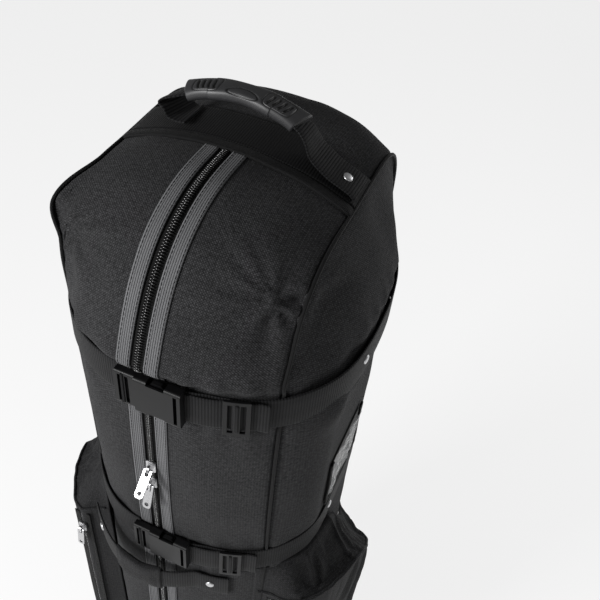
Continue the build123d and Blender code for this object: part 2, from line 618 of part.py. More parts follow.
def make_wheels():
    """Two in-line skate wheels on fixed steel axles."""
    axles = []
    for side, name in ((-1, "left"), (1, "right")):
        x = side * WHEEL_X
        half = WHEEL_WIDTH / 2
        hub_radius = WHEEL_RADIUS - 12.0
        hub = rod(hub_radius, (x - half + 1, WHEEL_Y, WHEEL_Z), (x + half - 1, WHEEL_Y, WHEEL_Z))
        for face in (x - half + 1, x + half - 1):
            hub = hub - (rod(hub_radius - 3, (face - 4, WHEEL_Y, WHEEL_Z), (face + 4, WHEEL_Y, WHEEL_Z))
                         - rod(10.0, (face - 5, WHEEL_Y, WHEEL_Z), (face + 5, WHEEL_Y, WHEEL_Z)))
        bore = AXLE_RADIUS + AXLE_CLEARANCE
        hub = hub - rod(bore, (x - 30, WHEEL_Y, WHEEL_Z), (x + 30, WHEEL_Y, WHEEL_Z))
        for k in range(5):
            angle = radians(72 * k)
            y = WHEEL_Y + 16.5 * cos(angle)
            z = WHEEL_Z + 16.5 * sin(angle)
            hub = hub - rod(3.6, (x - 30, y, z), (x + 30, y, z))
        tyre = rod(WHEEL_RADIUS, (x - half, WHEEL_Y, WHEEL_Z), (x + half, WHEEL_Y, WHEEL_Z))
        tyre = fillet(tyre.edges().filter_by(GeomType.CIRCLE), 5.0)
        tyre = tyre - rod(hub_radius, (x - 30, WHEEL_Y, WHEEL_Z), (x + 30, WHEEL_Y, WHEEL_Z))
        nodes[f"wheel_hub_{name}"] = hub
        nodes[f"wheel_tyre_{name}"] = tyre
        reach = CHEEK_GAP + CHEEK_THICK
        pin = rod(AXLE_RADIUS, (x - reach, WHEEL_Y, WHEEL_Z), (x + reach, WHEEL_Y, WHEEL_Z))
        outboard = x + side * reach
        pin = pin + rod(7.0, (outboard, WHEEL_Y, WHEEL_Z), (outboard + side * 2.5, WHEEL_Y, WHEEL_Z))
        axles.append(pin.solids()[0])
    nodes["wheel_axles"] = Compound(axles)


make_body()
make_hood_foam()
make_top_band()
make_top_handle()
make_zip_hardware()
make_straps()
make_carry_handle()
make_card_window()
make_pockets()
make_rivets()
make_base()
make_wheels()

os.makedirs("parts", exist_ok=True)
for name, shape in nodes.items():
    export_step(shape, f"parts/{name}.step")
print(len(nodes), "nodes")
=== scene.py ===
import math

import bmesh
import bpy
import numpy as np
from mathutils import Matrix, Vector


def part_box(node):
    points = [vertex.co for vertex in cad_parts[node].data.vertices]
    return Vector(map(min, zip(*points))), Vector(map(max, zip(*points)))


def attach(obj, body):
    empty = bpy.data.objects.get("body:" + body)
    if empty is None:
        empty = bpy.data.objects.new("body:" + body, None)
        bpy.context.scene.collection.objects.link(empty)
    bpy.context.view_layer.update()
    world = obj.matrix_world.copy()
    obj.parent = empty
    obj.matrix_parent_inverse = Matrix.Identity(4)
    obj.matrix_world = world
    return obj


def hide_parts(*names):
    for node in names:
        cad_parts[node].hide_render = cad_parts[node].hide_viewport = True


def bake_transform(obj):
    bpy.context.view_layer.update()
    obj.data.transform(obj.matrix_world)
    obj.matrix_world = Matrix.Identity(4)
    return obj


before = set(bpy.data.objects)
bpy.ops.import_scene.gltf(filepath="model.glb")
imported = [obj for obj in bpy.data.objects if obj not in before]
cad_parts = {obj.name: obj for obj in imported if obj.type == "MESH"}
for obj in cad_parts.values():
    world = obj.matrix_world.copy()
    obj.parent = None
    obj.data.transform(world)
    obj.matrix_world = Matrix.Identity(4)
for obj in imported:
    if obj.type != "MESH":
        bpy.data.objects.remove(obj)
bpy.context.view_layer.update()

MM = 0.001                       # shapes are worked out in millimetres and stored in metres


# ---------------------------------------------------------------- sizes taken from the frame
def low(node):
    """The lowest corner of a CAD node's box, in mm."""
    return np.array(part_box(node)[0]) / MM


def high(node):
    """The highest corner of a CAD node's box, in mm."""
    return np.array(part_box(node)[1]) / MM


SEAM_X = low("side_panel_right")[0]
SIDE_X = high("side_panel_right")[0]
FRONT_Y = low("zip_tape_left")[1]
REAR_Y = high("back_panel")[1]
BASE_Z = low("back_panel")[2]
CROWN_Z = high("back_panel")[2]
STRAPS = [(low(f"strap_{k}_webbing")[2], high(f"strap_{k}_webbing")[2]) for k in (1, 2, 3)]
STRAP_TOP = STRAPS[0][1]
BINDING_Y = low("top_binding")[1]
BAND_Y0, BAND_Y1 = low("top_band")[1], high("top_band")[1]
SIDES = ((1, "right"), (-1, "left"))


# ---------------------------------------------------------------- the bag's surface, as formulas
def smooth(t):
    t = np.clip(t, 0, 1)
    return t * t * (3 - 2 * t)


def bump(x, centre, width):
    return np.exp(-((x - centre) / width) ** 2)


def unit(v):
    """Vectors scaled to length 1."""
    return v / np.maximum(np.linalg.norm(v, axis=-1, keepdims=True), 1e-9)


def run_of(line):
    """How far along a line of points each of them is."""
    return np.concatenate([[0], np.cumsum(np.linalg.norm(np.diff(line, axis=0), axis=1))])


def along_line(t, run, line):
    """The places on a line at distances t along it."""
    return np.stack([np.interp(t, run, line[:, k]) for k in range(line.shape[1])], axis=-1)


def ripple(points, size, seed, waves=7):
    """Smooth wandering values about -1 to 1, with features of about size mm."""
    rng = np.random.default_rng(seed)
    total = np.zeros(points.shape[:-1])
    for _ in range(waves):
        direction = rng.normal(size=3)
        direction *= 2 * math.pi / (size * rng.uniform(0.7, 1.6)) / np.linalg.norm(direction)
        total += np.sin(points @ direction + rng.uniform(0, 6.28))
    return total / math.sqrt(waves)


SHOULDER = (140.0, 150.0)        # how far back and how far down the front shoulder reaches
NAPE = (104.0, 106.0)
HOOD_FRONT_Z = CROWN_Z - 11.0
HOOD_REAR_Z = CROWN_Z - 8.0
CORNER_POWER = 2.4
NARROWER = 12.0                  # the loosely filled bag hangs narrower on its left
SEAMS = {1: SEAM_X, -1: SEAM_X - NARROWER}


def profile_points():
    """The bag's middle line seen from the side, up the front, over the hood and down the back."""
    line = [(FRONT_Y, z) for z in np.linspace(BASE_Z, HOOD_FRONT_Z - SHOULDER[1], 60)]
    a = np.linspace(0, math.pi / 2, 40)[1:]
    corner = list(zip(np.cos(a) ** (2 / CORNER_POWER), np.sin(a) ** (2 / CORNER_POWER)))
    line += [(FRONT_Y + SHOULDER[0] * (1 - c), HOOD_FRONT_Z - SHOULDER[1] * (1 - s)) for c, s in corner]
    for t in np.linspace(0, 1, 20)[1:]:
        y = (1 - t) * (FRONT_Y + SHOULDER[0]) + t * (REAR_Y - NAPE[0])
        line.append((y, HOOD_FRONT_Z + (HOOD_REAR_Z - HOOD_FRONT_Z) * smooth(t)))
    line += [(REAR_Y - NAPE[0] * (1 - s), HOOD_REAR_Z - NAPE[1] * (1 - c)) for c, s in corner]
    line += [(REAR_Y, z) for z in np.linspace(HOOD_REAR_Z - NAPE[1], BASE_Z, 60)[1:]]
    return np.array(line)


PROFILE = profile_points()
ALONG = run_of(PROFILE)
TANGENT = unit(np.gradient(PROFILE, ALONG, axis=0))
NORMAL = np.stack([-TANGENT[:, 1], TANGENT[:, 0]], axis=1)
TOP_INDEX = int(np.argmax(PROFILE[:, 1]))
LENGTH = ALONG[-1]


def along_at_y(y):
    """Distance along the profile where the hood's top passes depth y."""
    top = (PROFILE[:, 1] > CROWN_Z - 60) & (np.abs(PROFILE[:, 0]) < 150)
    return float(np.interp(y, PROFILE[top, 0], ALONG[top]))


def upness(s):
    """0 on the upright walls, 1 on the hood's top."""
    return np.interp(s, ALONG, smooth(np.abs(NORMAL[:, 1]) * 1.15))


def belly(z, amount):
    """How far the filled bag swells between one strap and the next."""
    out = np.zeros_like(z)
    levels = [BASE_Z - 4] + [e for strap in STRAPS[::-1] for e in strap]
    for z0, z1 in zip(levels[::2], levels[1::2]):
        inside = (z > z0) & (z < z1)
        t = np.clip((z - z0) / (z1 - z0), 0, 1)
        out += np.where(inside, np.sin(math.pi * t) ** 0.6, 0) * amount * min(1, (z1 - z0) / 200)
    lip = smooth((z - STRAP_TOP) / 15) * np.exp(-np.clip(z - STRAP_TOP - 18, 0, None) / 50)
    return out + amount * 1.4 * lip


def left_spread(y, z):
    """How far the left seam swings back out, on the hood's front and where the base holds the bag."""
    hood = 1.35 * smooth((z - 1208) / 30) * (1 - smooth((y + 120) / 70))
    return NARROWER * np.maximum(hood, 1 - smooth((z - 190) / 110))


def seam_x(side, y, z):
    """How far a side seam is from the zip at depth y and height z."""
    return SEAMS[side] + (left_spread(y, z) if side < 0 else 0 * z)


def slump(s, z, up):
    """How much further the left front corner falls back, because the bag is loosely filled."""
    front = 1 - smooth((s - ALONG[TOP_INDEX]) / 160)
    fall = (16.0 + 0.028 * np.clip(1240 - z, 0, 900)) * smooth((z - 190) / 220)
    fall = fall * (1 - 0.8 * smooth((z - 1198) / 34))
    return front * ((1 - up) * fall - up * 7.0)


def belt(x, s):
    """Points of the belt of panels, at distance x from the zip and s along the profile."""
    y, z = np.interp(s, ALONG, PROFILE[:, 0]), np.interp(s, ALONG, PROFILE[:, 1])
    ny, nz = np.interp(s, ALONG, NORMAL[:, 0]), np.interp(s, ALONG, NORMAL[:, 1])
    left = x < 0
    share = np.abs(x) / np.where(left, SEAMS[-1], SEAMS[1])
    up = upness(s)
    chest = 7.0 * bump(z, 1165.0, 45.0) * (s < ALONG[TOP_INDEX])
    depth = 27.0 + 3.0 * up + np.where(left, slump(s, z, up), chest)
    drop = depth * share ** (3.2 - 1.0 * up - np.where(left, 0.5 * (1 - up), 0))
    taut = 1 - 0.88 * bump(x, 0.0, 36.0) * (z < STRAPS[0][0])
    swell = belly(z, 9.0) * (1 - np.where(left, 1.1, 0.6) * share ** 2) * (1 - up) * taut
    out = swell - drop
    across = x - np.where(left, left_spread(y, z) * share ** 2, 0)
    return np.stack([across, y + ny * out, z + nz * out], axis=-1)


def seam_line(side):
    """The seam between the belt and one side panel, front foot to back foot."""
    return belt(np.full(len(ALONG), side * SEAMS[side]), ALONG)


SEAM_LINES = {side: seam_line(side) for side in (1, -1)}


def distance_to(points, line):
    """Nearest distance from each (y, z) point to a polyline."""
    flat = points.reshape(-1, 2)
    a, b = line[:-1], line[1:]
    d = b - a
    best = np.full(len(flat), 1e9)
    for p0, v in zip(a, d):
        t = np.clip(((flat - p0) @ v) / max(v @ v, 1e-9), 0, 1)
        best = np.minimum(best, np.linalg.norm(flat - p0 - t[:, None] * v, axis=1))
    return best.reshape(points.shape[:-1])


SIDE_SWELL = {1: SIDE_X - SEAM_X - 1.0, -1: 36.0}
SIDE_REACH = {1: (80.0, 150.0), -1: (118.0, 90.0)}   # from the front seam and from the back seam
HOOD_REACH = {1: 128.0, -1: 98.0}
PLAN_RADIUS = 110.0              # of the base's upright corners, which hold the foot of the bag
FLAT_HALF = REAR_Y - PLAN_RADIUS
CHEST_SWELL = 8.0                # the right side stands out a little at the top strap


def side_out(side, y, z, seam):
    """How far a side panel stands out from its seams."""
    front = int(np.argmax(seam[:, 2] > STRAP_TOP + 60))
    back = len(seam) - int(np.argmax(seam[::-1, 2] > STRAP_TOP + 90))
    points = np.stack([y, z], axis=-1)
    d_front = distance_to(points, seam[:front + 8:3, 1:])
    d_top = distance_to(points, seam[front:back:2, 1:])
    d_back = distance_to(points, seam[back - 8::3, 1:])

    def rise(d, reach, power):
        return 1 - (1 - np.clip(d / reach, 0, 1)) ** power

    from_front, from_back = SIDE_REACH[side]
    full = rise(d_front, from_front, 2.4) * rise(d_back, from_back, 2.4)
    full = full * rise(d_top, HOOD_REACH[side], 1.7)
    chest = CHEST_SWELL * smooth((z - 1020) / 60) * (1 - smooth((z - 1165) / 60)) * (side > 0)
    seam_at = seam_x(side, y, z)
    x = seam_at + (SIDE_SWELL[side] + chest + belly(z, 3.0) * (z < STRAP_TOP + 120)) * full
    past_flat = np.clip(np.abs(y) - FLAT_HALF, 0, None)
    tub = SIDE_X - PLAN_RADIUS + np.sqrt(np.clip(PLAN_RADIUS ** 2 - past_flat ** 2, 0, None))
    held = 1 - smooth((z - 165) / 120)
    return x + (np.maximum(tub, seam_at) - x) * held


CARD_Y = (low("card_frame")[1], high("card_frame")[1])
CARD_Z = (low("card_frame")[2], high("card_frame")[2])


def flatten_for_card(x, y, z):
    """The right side panel lies flat behind the card window and where the card slides out."""
    flat = smooth((y - CARD_Y[0] + 26) / 24) * smooth((CARD_Y[1] + 26 - y) / 24)
    flat = flat * smooth((z - CARD_Z[0] + 40) / 34) * smooth((CARD_Z[1] + 100 - z) / 40)
    return x + (SIDE_X - 0.6 - x) * flat, 1 - flat


def coons(seam, across, up):
    """A grid over the side panel in (y, z), bounded by its seam."""
    third = int(np.argmax(seam[:, 2] > CROWN_Z - 75))
    last = len(seam) - int(np.argmax(seam[::-1, 2] > CROWN_Z - 75)) - 1

    def sample(part, n):
        run = run_of(part)
        return along_line(np.linspace(0, run[-1], n), run, part)

    left = sample(seam[:third + 1, 1:], up)
    right = sample(seam[last:, 1:][::-1], up)
    top = sample(seam[third:last + 1, 1:], across)
    bottom = np.linspace(left[0], right[0], across)
    u = np.linspace(0, 1, across)[None, :, None]
    w = np.linspace(0, 1, up)[:, None, None]
    grid = (1 - u) * left[:, None] + u * right[:, None] + (1 - w) * bottom[None] + w * top[None]
    grid -= (1 - u) * (1 - w) * left[0] + u * (1 - w) * right[0]
    grid -= (1 - u) * w * left[-1] + u * w * right[-1]
    return grid


# Where the cloth gathers: the middle of each place, its size and how deep the gathers are.
PUCKERS = [((SEAM_X, FRONT_Y + 60, CROWN_Z - 66), 24.0, 2.4),
           ((-SEAM_X - 2, FRONT_Y + 44, CROWN_Z - 88), 30.0, 4.0),
           ((SEAM_X + 26, FRONT_Y + 92, CROWN_Z - 60), 34.0, 2.6)]


def creases(pos):
    """Soft folds of the cloth: long gentle waves, and puckers near the hood's front corners."""
    wave = 1.3 * ripple(pos * [1, 1, 0.45], 130, 3) + 0.5 * ripple(pos * [1, 1, 0.7], 48, 5)
    for k in (-1, 1):
        corner = np.array([k * (SEAM_X - 4), FRONT_Y + 34, CROWN_Z - 62])
        d = pos - corner
        near = np.exp(-(np.linalg.norm(d * [0.75, 1, 1], axis=-1) / 46) ** 2)
        spokes = np.sin(7.5 * np.arctan2(d[..., 2], d[..., 1] + d[..., 0] * k * 0.6) + 1.0)
        wave = wave + near * (2.6 * spokes - 2.2)
    for centre, size, deep in PUCKERS:
        d = (pos - np.array(centre)) / size
        near = np.exp(-np.sum(d ** 2, axis=-1))
        spokes = np.sin(6.0 * np.arctan2(d[..., 2], d[..., 0] - d[..., 1]) + 0.6)
        wave = wave + near * deep * (spokes - 0.6)
    for z0, z1 in STRAPS:
        gather = bump(pos[..., 2], z1 + 12, 16) + bump(pos[..., 2], z0 - 12, 16)
        turn = np.arctan2(pos[..., 1], pos[..., 0])
        wave = wave + gather * 1.2 * np.sin(31 * turn + 2.2 * np.sin(5 * turn))
    quiet = smooth((np.abs(pos[..., 0]) - 14) / 26) * 0.85 + 0.15
    strap = sum(bump(pos[..., 2], (z0 + z1) / 2, 17) for z0, z1 in STRAPS)
    return wave * quiet * (1 - 0.9 * np.clip(strap, 0, 1))


# Short sharp tucks at the hood's front corners: a point on the seam, the way the tuck runs,
# how far it runs, its width and its depth.
TUCKS = [((SEAM_X, FRONT_Y + 62, CROWN_Z - 65), (0.97, 0.24, 0.0), 25.0, 4.6, 6.0),
         ((SEAM_X, FRONT_Y + 52, CROWN_Z - 78), (0.95, 0.31, 0.0), 15.0, 4.2, 4.0),
         ((-SEAM_X - 3, FRONT_Y + 58, CROWN_Z - 58), (0.81, -0.48, -0.34), 25.0, 6.0, 4.6)]


def tucks(pos):
    """A valley with a soft ridge beside it, along each of the tucks."""
    total = np.zeros(pos.shape[:-1])
    for start, way, reach, width, deep in TUCKS:
        way = unit(np.array(way))
        d = pos - np.array(start)
        along = d @ way
        off = np.linalg.norm(d - along[..., None] * way, axis=-1)
        fold = 0.5 * bump(off, 2.2 * width, width) - bump(off, 0.0, width)
        total += deep * fold * bump(along, 0.0, reach)
    return total


def normals_of(grid):
    """Unit normals of a grid of points."""
    du, dv = np.gradient(grid, axis=1), np.gradient(grid, axis=0)
    return unit(np.cross(du, dv))


def outward(grid):
    """Normals turned to point out of the bag."""
    n = normals_of(grid)
    middle = grid.copy()
    middle[..., 2] = np.clip(grid[..., 2] - (CROWN_Z - 150), 0, None)
    flip = np.sign(np.sum(n * middle, axis=-1, keepdims=True))
    return n * np.where(flip == 0, 1, flip)


def belt_grid(x0, x1, s0, s1, step=6.0, out=0.0, fold=1.0, columns=None):
    """A patch of the belt, raised by out along its normals."""
    columns = columns or max(2, int(abs(x1 - x0) / step) + 1)
    rows = max(2, int((s1 - s0) / step) + 1)
    x, s = np.meshgrid(np.linspace(x0, x1, columns), np.linspace(s0, s1, rows))
    pos = belt(x, s)
    inside = np.where(x < 0, SEAMS[-1], SEAMS[1]) - np.abs(x)
    edge = 1.6 * np.exp(-(inside / 3.0) ** 2)
    folds = creases(pos) * smooth(inside / 8) + tucks(pos) * smooth(inside / 4)
    pos = pos + outward(pos) * (folds * fold - edge + out)[..., None]
    return pos, np.stack([x, s, 0 * x], axis=-1)


# ---------------------------------------------------------------- mesh helpers
def add_object(name, data):
    obj = bpy.data.objects.new(name, data)
    bpy.context.scene.collection.objects.link(obj)
    return obj


def new_object(name, verts, faces, body, cloth=None, smooth_faces=True):
    """A mesh from points in mm, with each point's place on the flat cloth."""
    mesh = bpy.data.meshes.new(name)
    mesh.from_pydata([tuple(p) for p in np.asarray(verts).reshape(-1, 3) * MM], [], faces)
    if cloth is not None:
        data = mesh.attributes.new("cloth", "FLOAT_VECTOR", "POINT")
        data.data.foreach_set("vector", np.asarray(cloth, np.float32).reshape(-1, 3).ravel())
    mesh.polygons.foreach_set("use_smooth", [smooth_faces] * len(mesh.polygons))
    mesh.update()
    obj = add_object(name, mesh)
    if body:
        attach(obj, body)
    return obj


def grid_faces(rows, columns, closed=False, start=0):
    """Faces between the rows of a grid, and round each row where it is closed."""
    faces = []
    for r in range(rows - 1):
        for c in range(columns if closed else columns - 1):
            d = (c + 1) % columns
            faces.append((start + r * columns + c, start + r * columns + d,
                          start + (r + 1) * columns + d, start + (r + 1) * columns + c))
    return faces


def capped_faces(rows, columns, start=0):
    """Faces of a row of rings with both ends closed."""
    last = start + (rows - 1) * columns
    return grid_faces(rows, columns, True, start) + [tuple(range(start, start + columns))[::-1],
                                                     tuple(range(last, last + columns))]


def recalculate(obj, want=None):
    """Point every face outward, to the side of the wanted directions where they are given."""
    bm = bmesh.new()
    bm.from_mesh(obj.data)
    bmesh.ops.recalc_face_normals(bm, faces=bm.faces)
    if want is not None and sum(v.normal.dot(Vector(want[v.index])) for v in bm.verts) < 0:
        bmesh.ops.reverse_faces(bm, faces=bm.faces)
    bm.to_mesh(obj.data)
    bm.free()


def paint(obj, key):
    obj.data.materials.clear()
    obj.data.materials.append(M[key])
    return obj


def thicken(obj, thick, offset):
    solid = obj.modifiers.new("thickness", "SOLIDIFY")
    solid.thickness = thick * MM
    solid.offset = offset


def sheet_object(name, grid, cloth, thick, key, slot, *replaced):
    """A cloth panel of the case: a grid of points with real thickness, in place of CAD nodes."""
    obj = new_object(name, grid, grid_faces(*grid.shape[:2]), "case", cloth)
    recalculate(obj, outward(grid).reshape(-1, 3))
    thicken(obj, thick, -1.0)
    if replaced:
        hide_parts(*replaced)
    return paint(obj, key)


def frames_along(path):
    """Tangents and two steady cross directions along a line of points."""
    path = np.asarray(path, float)
    t = unit(np.gradient(path, axis=0))
    side = np.zeros_like(t)
    first = np.cross(t[0], [0.0, 0.0, 1.0])
    if np.linalg.norm(first) < 1e-3:
        first = np.cross(t[0], [0.0, 1.0, 0.0])
    side[0] = unit(first)
    for i in range(1, len(t)):
        side[i] = unit(side[i - 1] - t[i] * (side[i - 1] @ t[i]))
    return t, side, np.cross(side, t)


def tube(path, radius, segments=8):
    """Points and faces of a round bead along a line, closed at its ends."""
    path = np.asarray(path, float)
    _, a, b = frames_along(path)
    angle = np.linspace(0, 2 * math.pi, segments, endpoint=False)
    ring = radius * (np.cos(angle)[None, :, None] * a[:, None] + np.sin(angle)[None, :, None] * b[:, None])
    return (path[:, None] + ring).reshape(-1, 3), capped_faces(len(path), segments)


def parts_object(name, parts, key, slot, *replaced, cloth=False, turned=True):
    """Several (points, faces) as one piece of the case, in place of CAD nodes."""
    verts, faces, start = [], [], 0
    for v, f in parts:
        verts.append(v)
        faces += [tuple(i + start for i in face) for face in f]
        start += len(v)
    verts = np.concatenate(verts)
    obj = new_object(name, verts, faces, "case", verts if cloth else None)
    if turned:
        recalculate(obj)
    if replaced:
        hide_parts(*replaced)
    return paint(obj, key)


def stitches(line, lift, length=3.2, gap=1.4, radius=0.38):
    """A row of thread stitches that follows a line lying on the cloth."""
    d = run_of(line)
    parts = []
    for start in np.arange(gap, d[-1] - length, length + gap):
        t = start + np.array([0.0, 0.18, 0.5, 0.82, 1.0]) * length
        rise = (np.array([-0.5, 0.1, 0.25, 0.1, -0.5]) * radius * 2)[:, None]
        parts.append(tube(along_line(t, d, line) + along_line(t, d, lift) * rise, radius, 5))
    return parts


# ---------------------------------------------------------------- materials
class Paint:
    """A small helper that builds a node material."""

    def __init__(self, name):
        self.material = bpy.data.materials.new(name)
        self.material.use_nodes = True
        self.tree = self.material.node_tree
        self.shader = self.tree.nodes["Principled BSDF"]

    def node(self, kind, **values):
        made = self.tree.nodes.new(kind)
        for key, value in values.items():
            setattr(made, key, value)
        return made

    def link(self, a, b):
        self.tree.links.new(a, b)

    def math(self, operation, a, b=None, c=None):
        made = self.node("ShaderNodeMath", operation=operation)
        for i, value in enumerate((a, b, c)):
            if value is None:
                continue
            if isinstance(value, (int, float)):
                made.inputs[i].default_value = value
            else:
                self.link(value, made.inputs[i])
        return made.outputs[0]

    def mul(self, a, b):
        return self.math("MULTIPLY", a, b)

    def mad(self, a, factor, more):
        """a times factor, plus more."""
        return self.math("MULTIPLY_ADD", a, factor, more)

    def hump(self, a, pitch):
        """Round humps from 0 to 1, one for each pitch."""
        return self.math("ABSOLUTE", self.math("SINE", self.mul(a, math.pi / pitch)))

    def mix(self, share, a, b):
        made = self.node("ShaderNodeMix", data_type="RGBA")
        for index, value in ((0, share), (6, a), (7, b)):
            if isinstance(value, (tuple, list)):
                made.inputs[index].default_value = (*value, 1.0)
            elif isinstance(value, (int, float)):
                made.inputs[index].default_value = value
            else:
                self.link(value, made.inputs[index])
        return made.outputs[2]

    def noise(self, vector, scale, detail=3.0, roughness=0.55):
        made = self.node("ShaderNodeTexNoise")
        made.inputs["Scale"].default_value = scale
        made.inputs["Detail"].default_value = detail
        made.inputs["Roughness"].default_value = roughness
        self.link(vector, made.inputs["Vector"])
        return made.outputs["Fac"]

    def object_mm(self):
        """Object coordinates in millimetres."""
        coordinates = self.node("ShaderNodeTexCoord").outputs["Object"]
        scaled = self.node("ShaderNodeVectorMath", operation="SCALE")
        self.link(coordinates, scaled.inputs[0])
        scaled.inputs["Scale"].default_value = 1 / MM
        return scaled.outputs[0]

    def cloth_mm(self):
        """The place on the flat cloth, in millimetres, kept with the mesh."""
        return self.node("ShaderNodeAttribute", attribute_name="cloth").outputs["Vector"]

    def split(self, vector):
        made = self.node("ShaderNodeSeparateXYZ")
        self.link(vector, made.inputs[0])
        return made.outputs

    def set(self, **values):
        for key, value in values.items():
            name = key.replace("_", " ").title().replace("Ior", "IOR")
            socket = self.shader.inputs[name]
            if isinstance(value, (int, float)):
                socket.default_value = value
            elif isinstance(value, tuple):
                socket.default_value = (*value, 1.0)
            else:
                self.link(value, socket)

    def relief(self, height, strength, distance):
        """A bump from a height, with its depth in mm."""
        made = self.node("ShaderNodeBump")
        made.inputs["Strength"].default_value = strength
        made.inputs["Distance"].default_value = distance * MM
        self.link(height, made.inputs["Height"])
        self.link(made.outputs[0], self.shader.inputs["Normal"])


def weave(p, u, v, pitch):
    """Height of a plain weave: threads that pass over and under each other."""
    su = p.math("SINE", p.mul(u, math.pi / pitch))
    sv = p.math("SINE", p.mul(v, math.pi / pitch))
    au, av = p.math("ABSOLUTE", su), p.math("ABSOLUTE", sv)
    over = p.math("GREATER_THAN", p.mul(su, sv), 0.0)
    warp = p.mul(p.math("POWER", au, 0.5), p.mad(av, 0.45, 0.55))
    weft = p.mul(p.math("POWER", av, 0.5), p.mad(au, 0.45, 0.55))
    return p.math("ADD", p.mul(over, warp), p.mul(p.math("SUBTRACT", 1.0, over), weft)), over


def cloth_material(name, deep, bright, pitch, roughness=0.78, depth=0.35, sheen=0.25):
    """Heavy plain-woven polyester. The colour follows the weave: painted shade in the hollows between
    threads and painted highlights on the thread tops, times random thread, slub and cloud tone.
    """
    p = Paint(name)
    place = p.cloth_mm()
    x, y, _ = p.split(place)
    height, over = weave(p, p.math("ADD", x, y), p.math("SUBTRACT", x, y), pitch * 1.414)
    thread = p.noise(place, 0.9, 2.0)
    slub = p.noise(place, 0.30, 2.0)
    cloud = p.noise(place, 0.012, 3.0)
    # painted shade and highlight: darkest in the weave's hollows, brightest on the thread tops, varied by
    # random thread tone
    painted_light_and_tone = height
    for share in (p.mad(thread, 1.6, -0.05), p.mad(slub, 2.4, -0.2), p.mad(cloud, 0.7, 0.62),
                  p.mad(over, 0.35, 0.75)):
        painted_light_and_tone = p.mul(painted_light_and_tone, share)
    p.set(base_color=p.mix(painted_light_and_tone, deep, bright), roughness=p.mad(thread, 0.16, roughness - 0.08),
          sheen_weight=sheen, sheen_roughness=0.45, specular_ior_level=0.10)
    p.relief(height, 0.8, depth)
    return p.material


def ribbed_material(name, deep, bright, pitch, roughness=0.6, depth=0.35, swap=False):
    """Woven webbing or tape whose ribs run straight across its length, with painted shade between the ribs.
    """
    p = Paint(name)
    place = p.cloth_mm()
    x, y, _ = p.split(place)
    along, across = (y, x) if swap else (x, y)
    rib = p.math("POWER", p.hump(along, pitch), 0.8)
    height = p.mul(rib, p.mad(p.hump(across, pitch * 0.5), 0.3, 0.7))
    thread = p.noise(place, 0.5, 3.0)
    # painted shade: the colour darkens towards the hollows between the ribs, varied by random thread tone
    painted_light_and_tone = p.mul(p.math("POWER", height, 1.5), p.mad(thread, 1.2, 0.4))
    p.set(base_color=p.mix(painted_light_and_tone, deep, bright), roughness=p.mad(thread, 0.2, roughness - 0.1),
          sheen_weight=0.03, specular_ior_level=0.10)
    p.relief(height, 0.9, depth)
    return p.material


def plastic_material(name, colour, worn, roughness=0.42, grain=0.06, grain_size=0.9, shine=0.3):
    """Moulded plastic with a fine grain and slightly paler rubbed places."""
    p = Paint(name)
    place = p.object_mm()
    rub = p.noise(place, 0.035, 4.0, 0.65)
    fine = p.noise(place, grain_size, 2.0)
    p.set(base_color=p.mix(p.mad(rub, 1.4, -0.35), colour, worn),
          roughness=p.mad(rub, 0.22, roughness - 0.11), specular_ior_level=shine)
    p.relief(fine, 0.5, grain)
    return p.material


def metal_material(name, colour, roughness, scratch=0.5):
    """Plated metal with faint scuffs."""
    p = Paint(name)
    place = p.object_mm()
    scuff = p.noise(place, 0.35, 5.0, 0.7)
    p.set(base_color=p.mix(scuff, tuple(0.82 * c for c in colour), colour), metallic=1.0,
          roughness=p.mad(scuff, scratch * 0.3, roughness))
    p.relief(p.noise(place, 0.12, 2.0), 0.15, 0.12)
    return p.material


def vinyl_material():
    """Clear flexible vinyl: mostly see-through, with sharp gloss and a faint milky haze."""
    p = Paint("clear_vinyl")
    place = p.cloth_mm()
    haze = p.noise(place, 0.05, 3.0)
    p.set(base_color=(0.35, 0.36, 0.37), alpha=p.mad(haze, 0.22, 0.10),
          roughness=p.mad(haze, 0.1, 0.03), specular_ior_level=0.9,
          coat_weight=1.0, coat_roughness=0.04)
    p.relief(p.noise(place, 0.2, 2.0), 0.3, 0.3)
    return p.material


def tape_material():
    """Grey zip tape: lengthwise ribs broken by rows of short dark stitches, with painted shade in the
    valleys between the ribs.
    """
    p = Paint("zip_tape")
    place = p.cloth_mm()
    x, y, _ = p.split(place)
    column = p.math("FLOOR", p.math("DIVIDE", x, 2.1))
    across = p.hump(x, 2.1)
    along = p.math("SINE", p.mul(p.math("ADD", y, p.mul(column, 1.55)), 2 * math.pi / 3.4))
    dash = p.mul(p.math("GREATER_THAN", along, 0.2), p.math("LESS_THAN", across, 0.5))
    height = p.math("SUBTRACT", p.math("POWER", across, 0.5), p.mul(dash, 0.75))
    thread = p.noise(place, 0.6, 3.0)
    cloud = p.noise(place, 0.02, 2.0)
    # painted shade: the colour darkens in the hollows between the ribs and in the stitch dashes
    painted_light_and_tone = p.mul(p.math("MAXIMUM", height, 0.0), p.mad(thread, 0.9, 0.45))
    painted_light_and_tone = p.mul(painted_light_and_tone, p.mad(cloud, 0.5, 0.75))
    p.set(base_color=p.mix(painted_light_and_tone, (0.018, 0.018, 0.019), (0.150, 0.151, 0.156)), roughness=0.8,
          specular_ior_level=0.12)
    p.relief(height, 0.8, 0.3)
    return p.material


def grip_material():
    """Satin moulded rubber, with painted shade in its grooves, which the mesh marks."""
    p = Paint("grip_rubber")
    place = p.object_mm()
    groove_shade = p.node("ShaderNodeAttribute", attribute_name="groove_shade").outputs["Fac"]
    rub = p.noise(place, 0.05, 4.0, 0.6)
    satin = p.mix(rub, (0.016, 0.016, 0.017), (0.030, 0.030, 0.032))
    # painted shade: the marked grooves turn nearly black
    p.set(base_color=p.mix(groove_shade, satin, (0.002, 0.002, 0.002)),
          roughness=p.mad(rub, 0.16, 0.38), specular_ior_level=0.5)
    p.relief(p.noise(place, 1.4, 2.0), 0.5, 0.06)
    return p.material
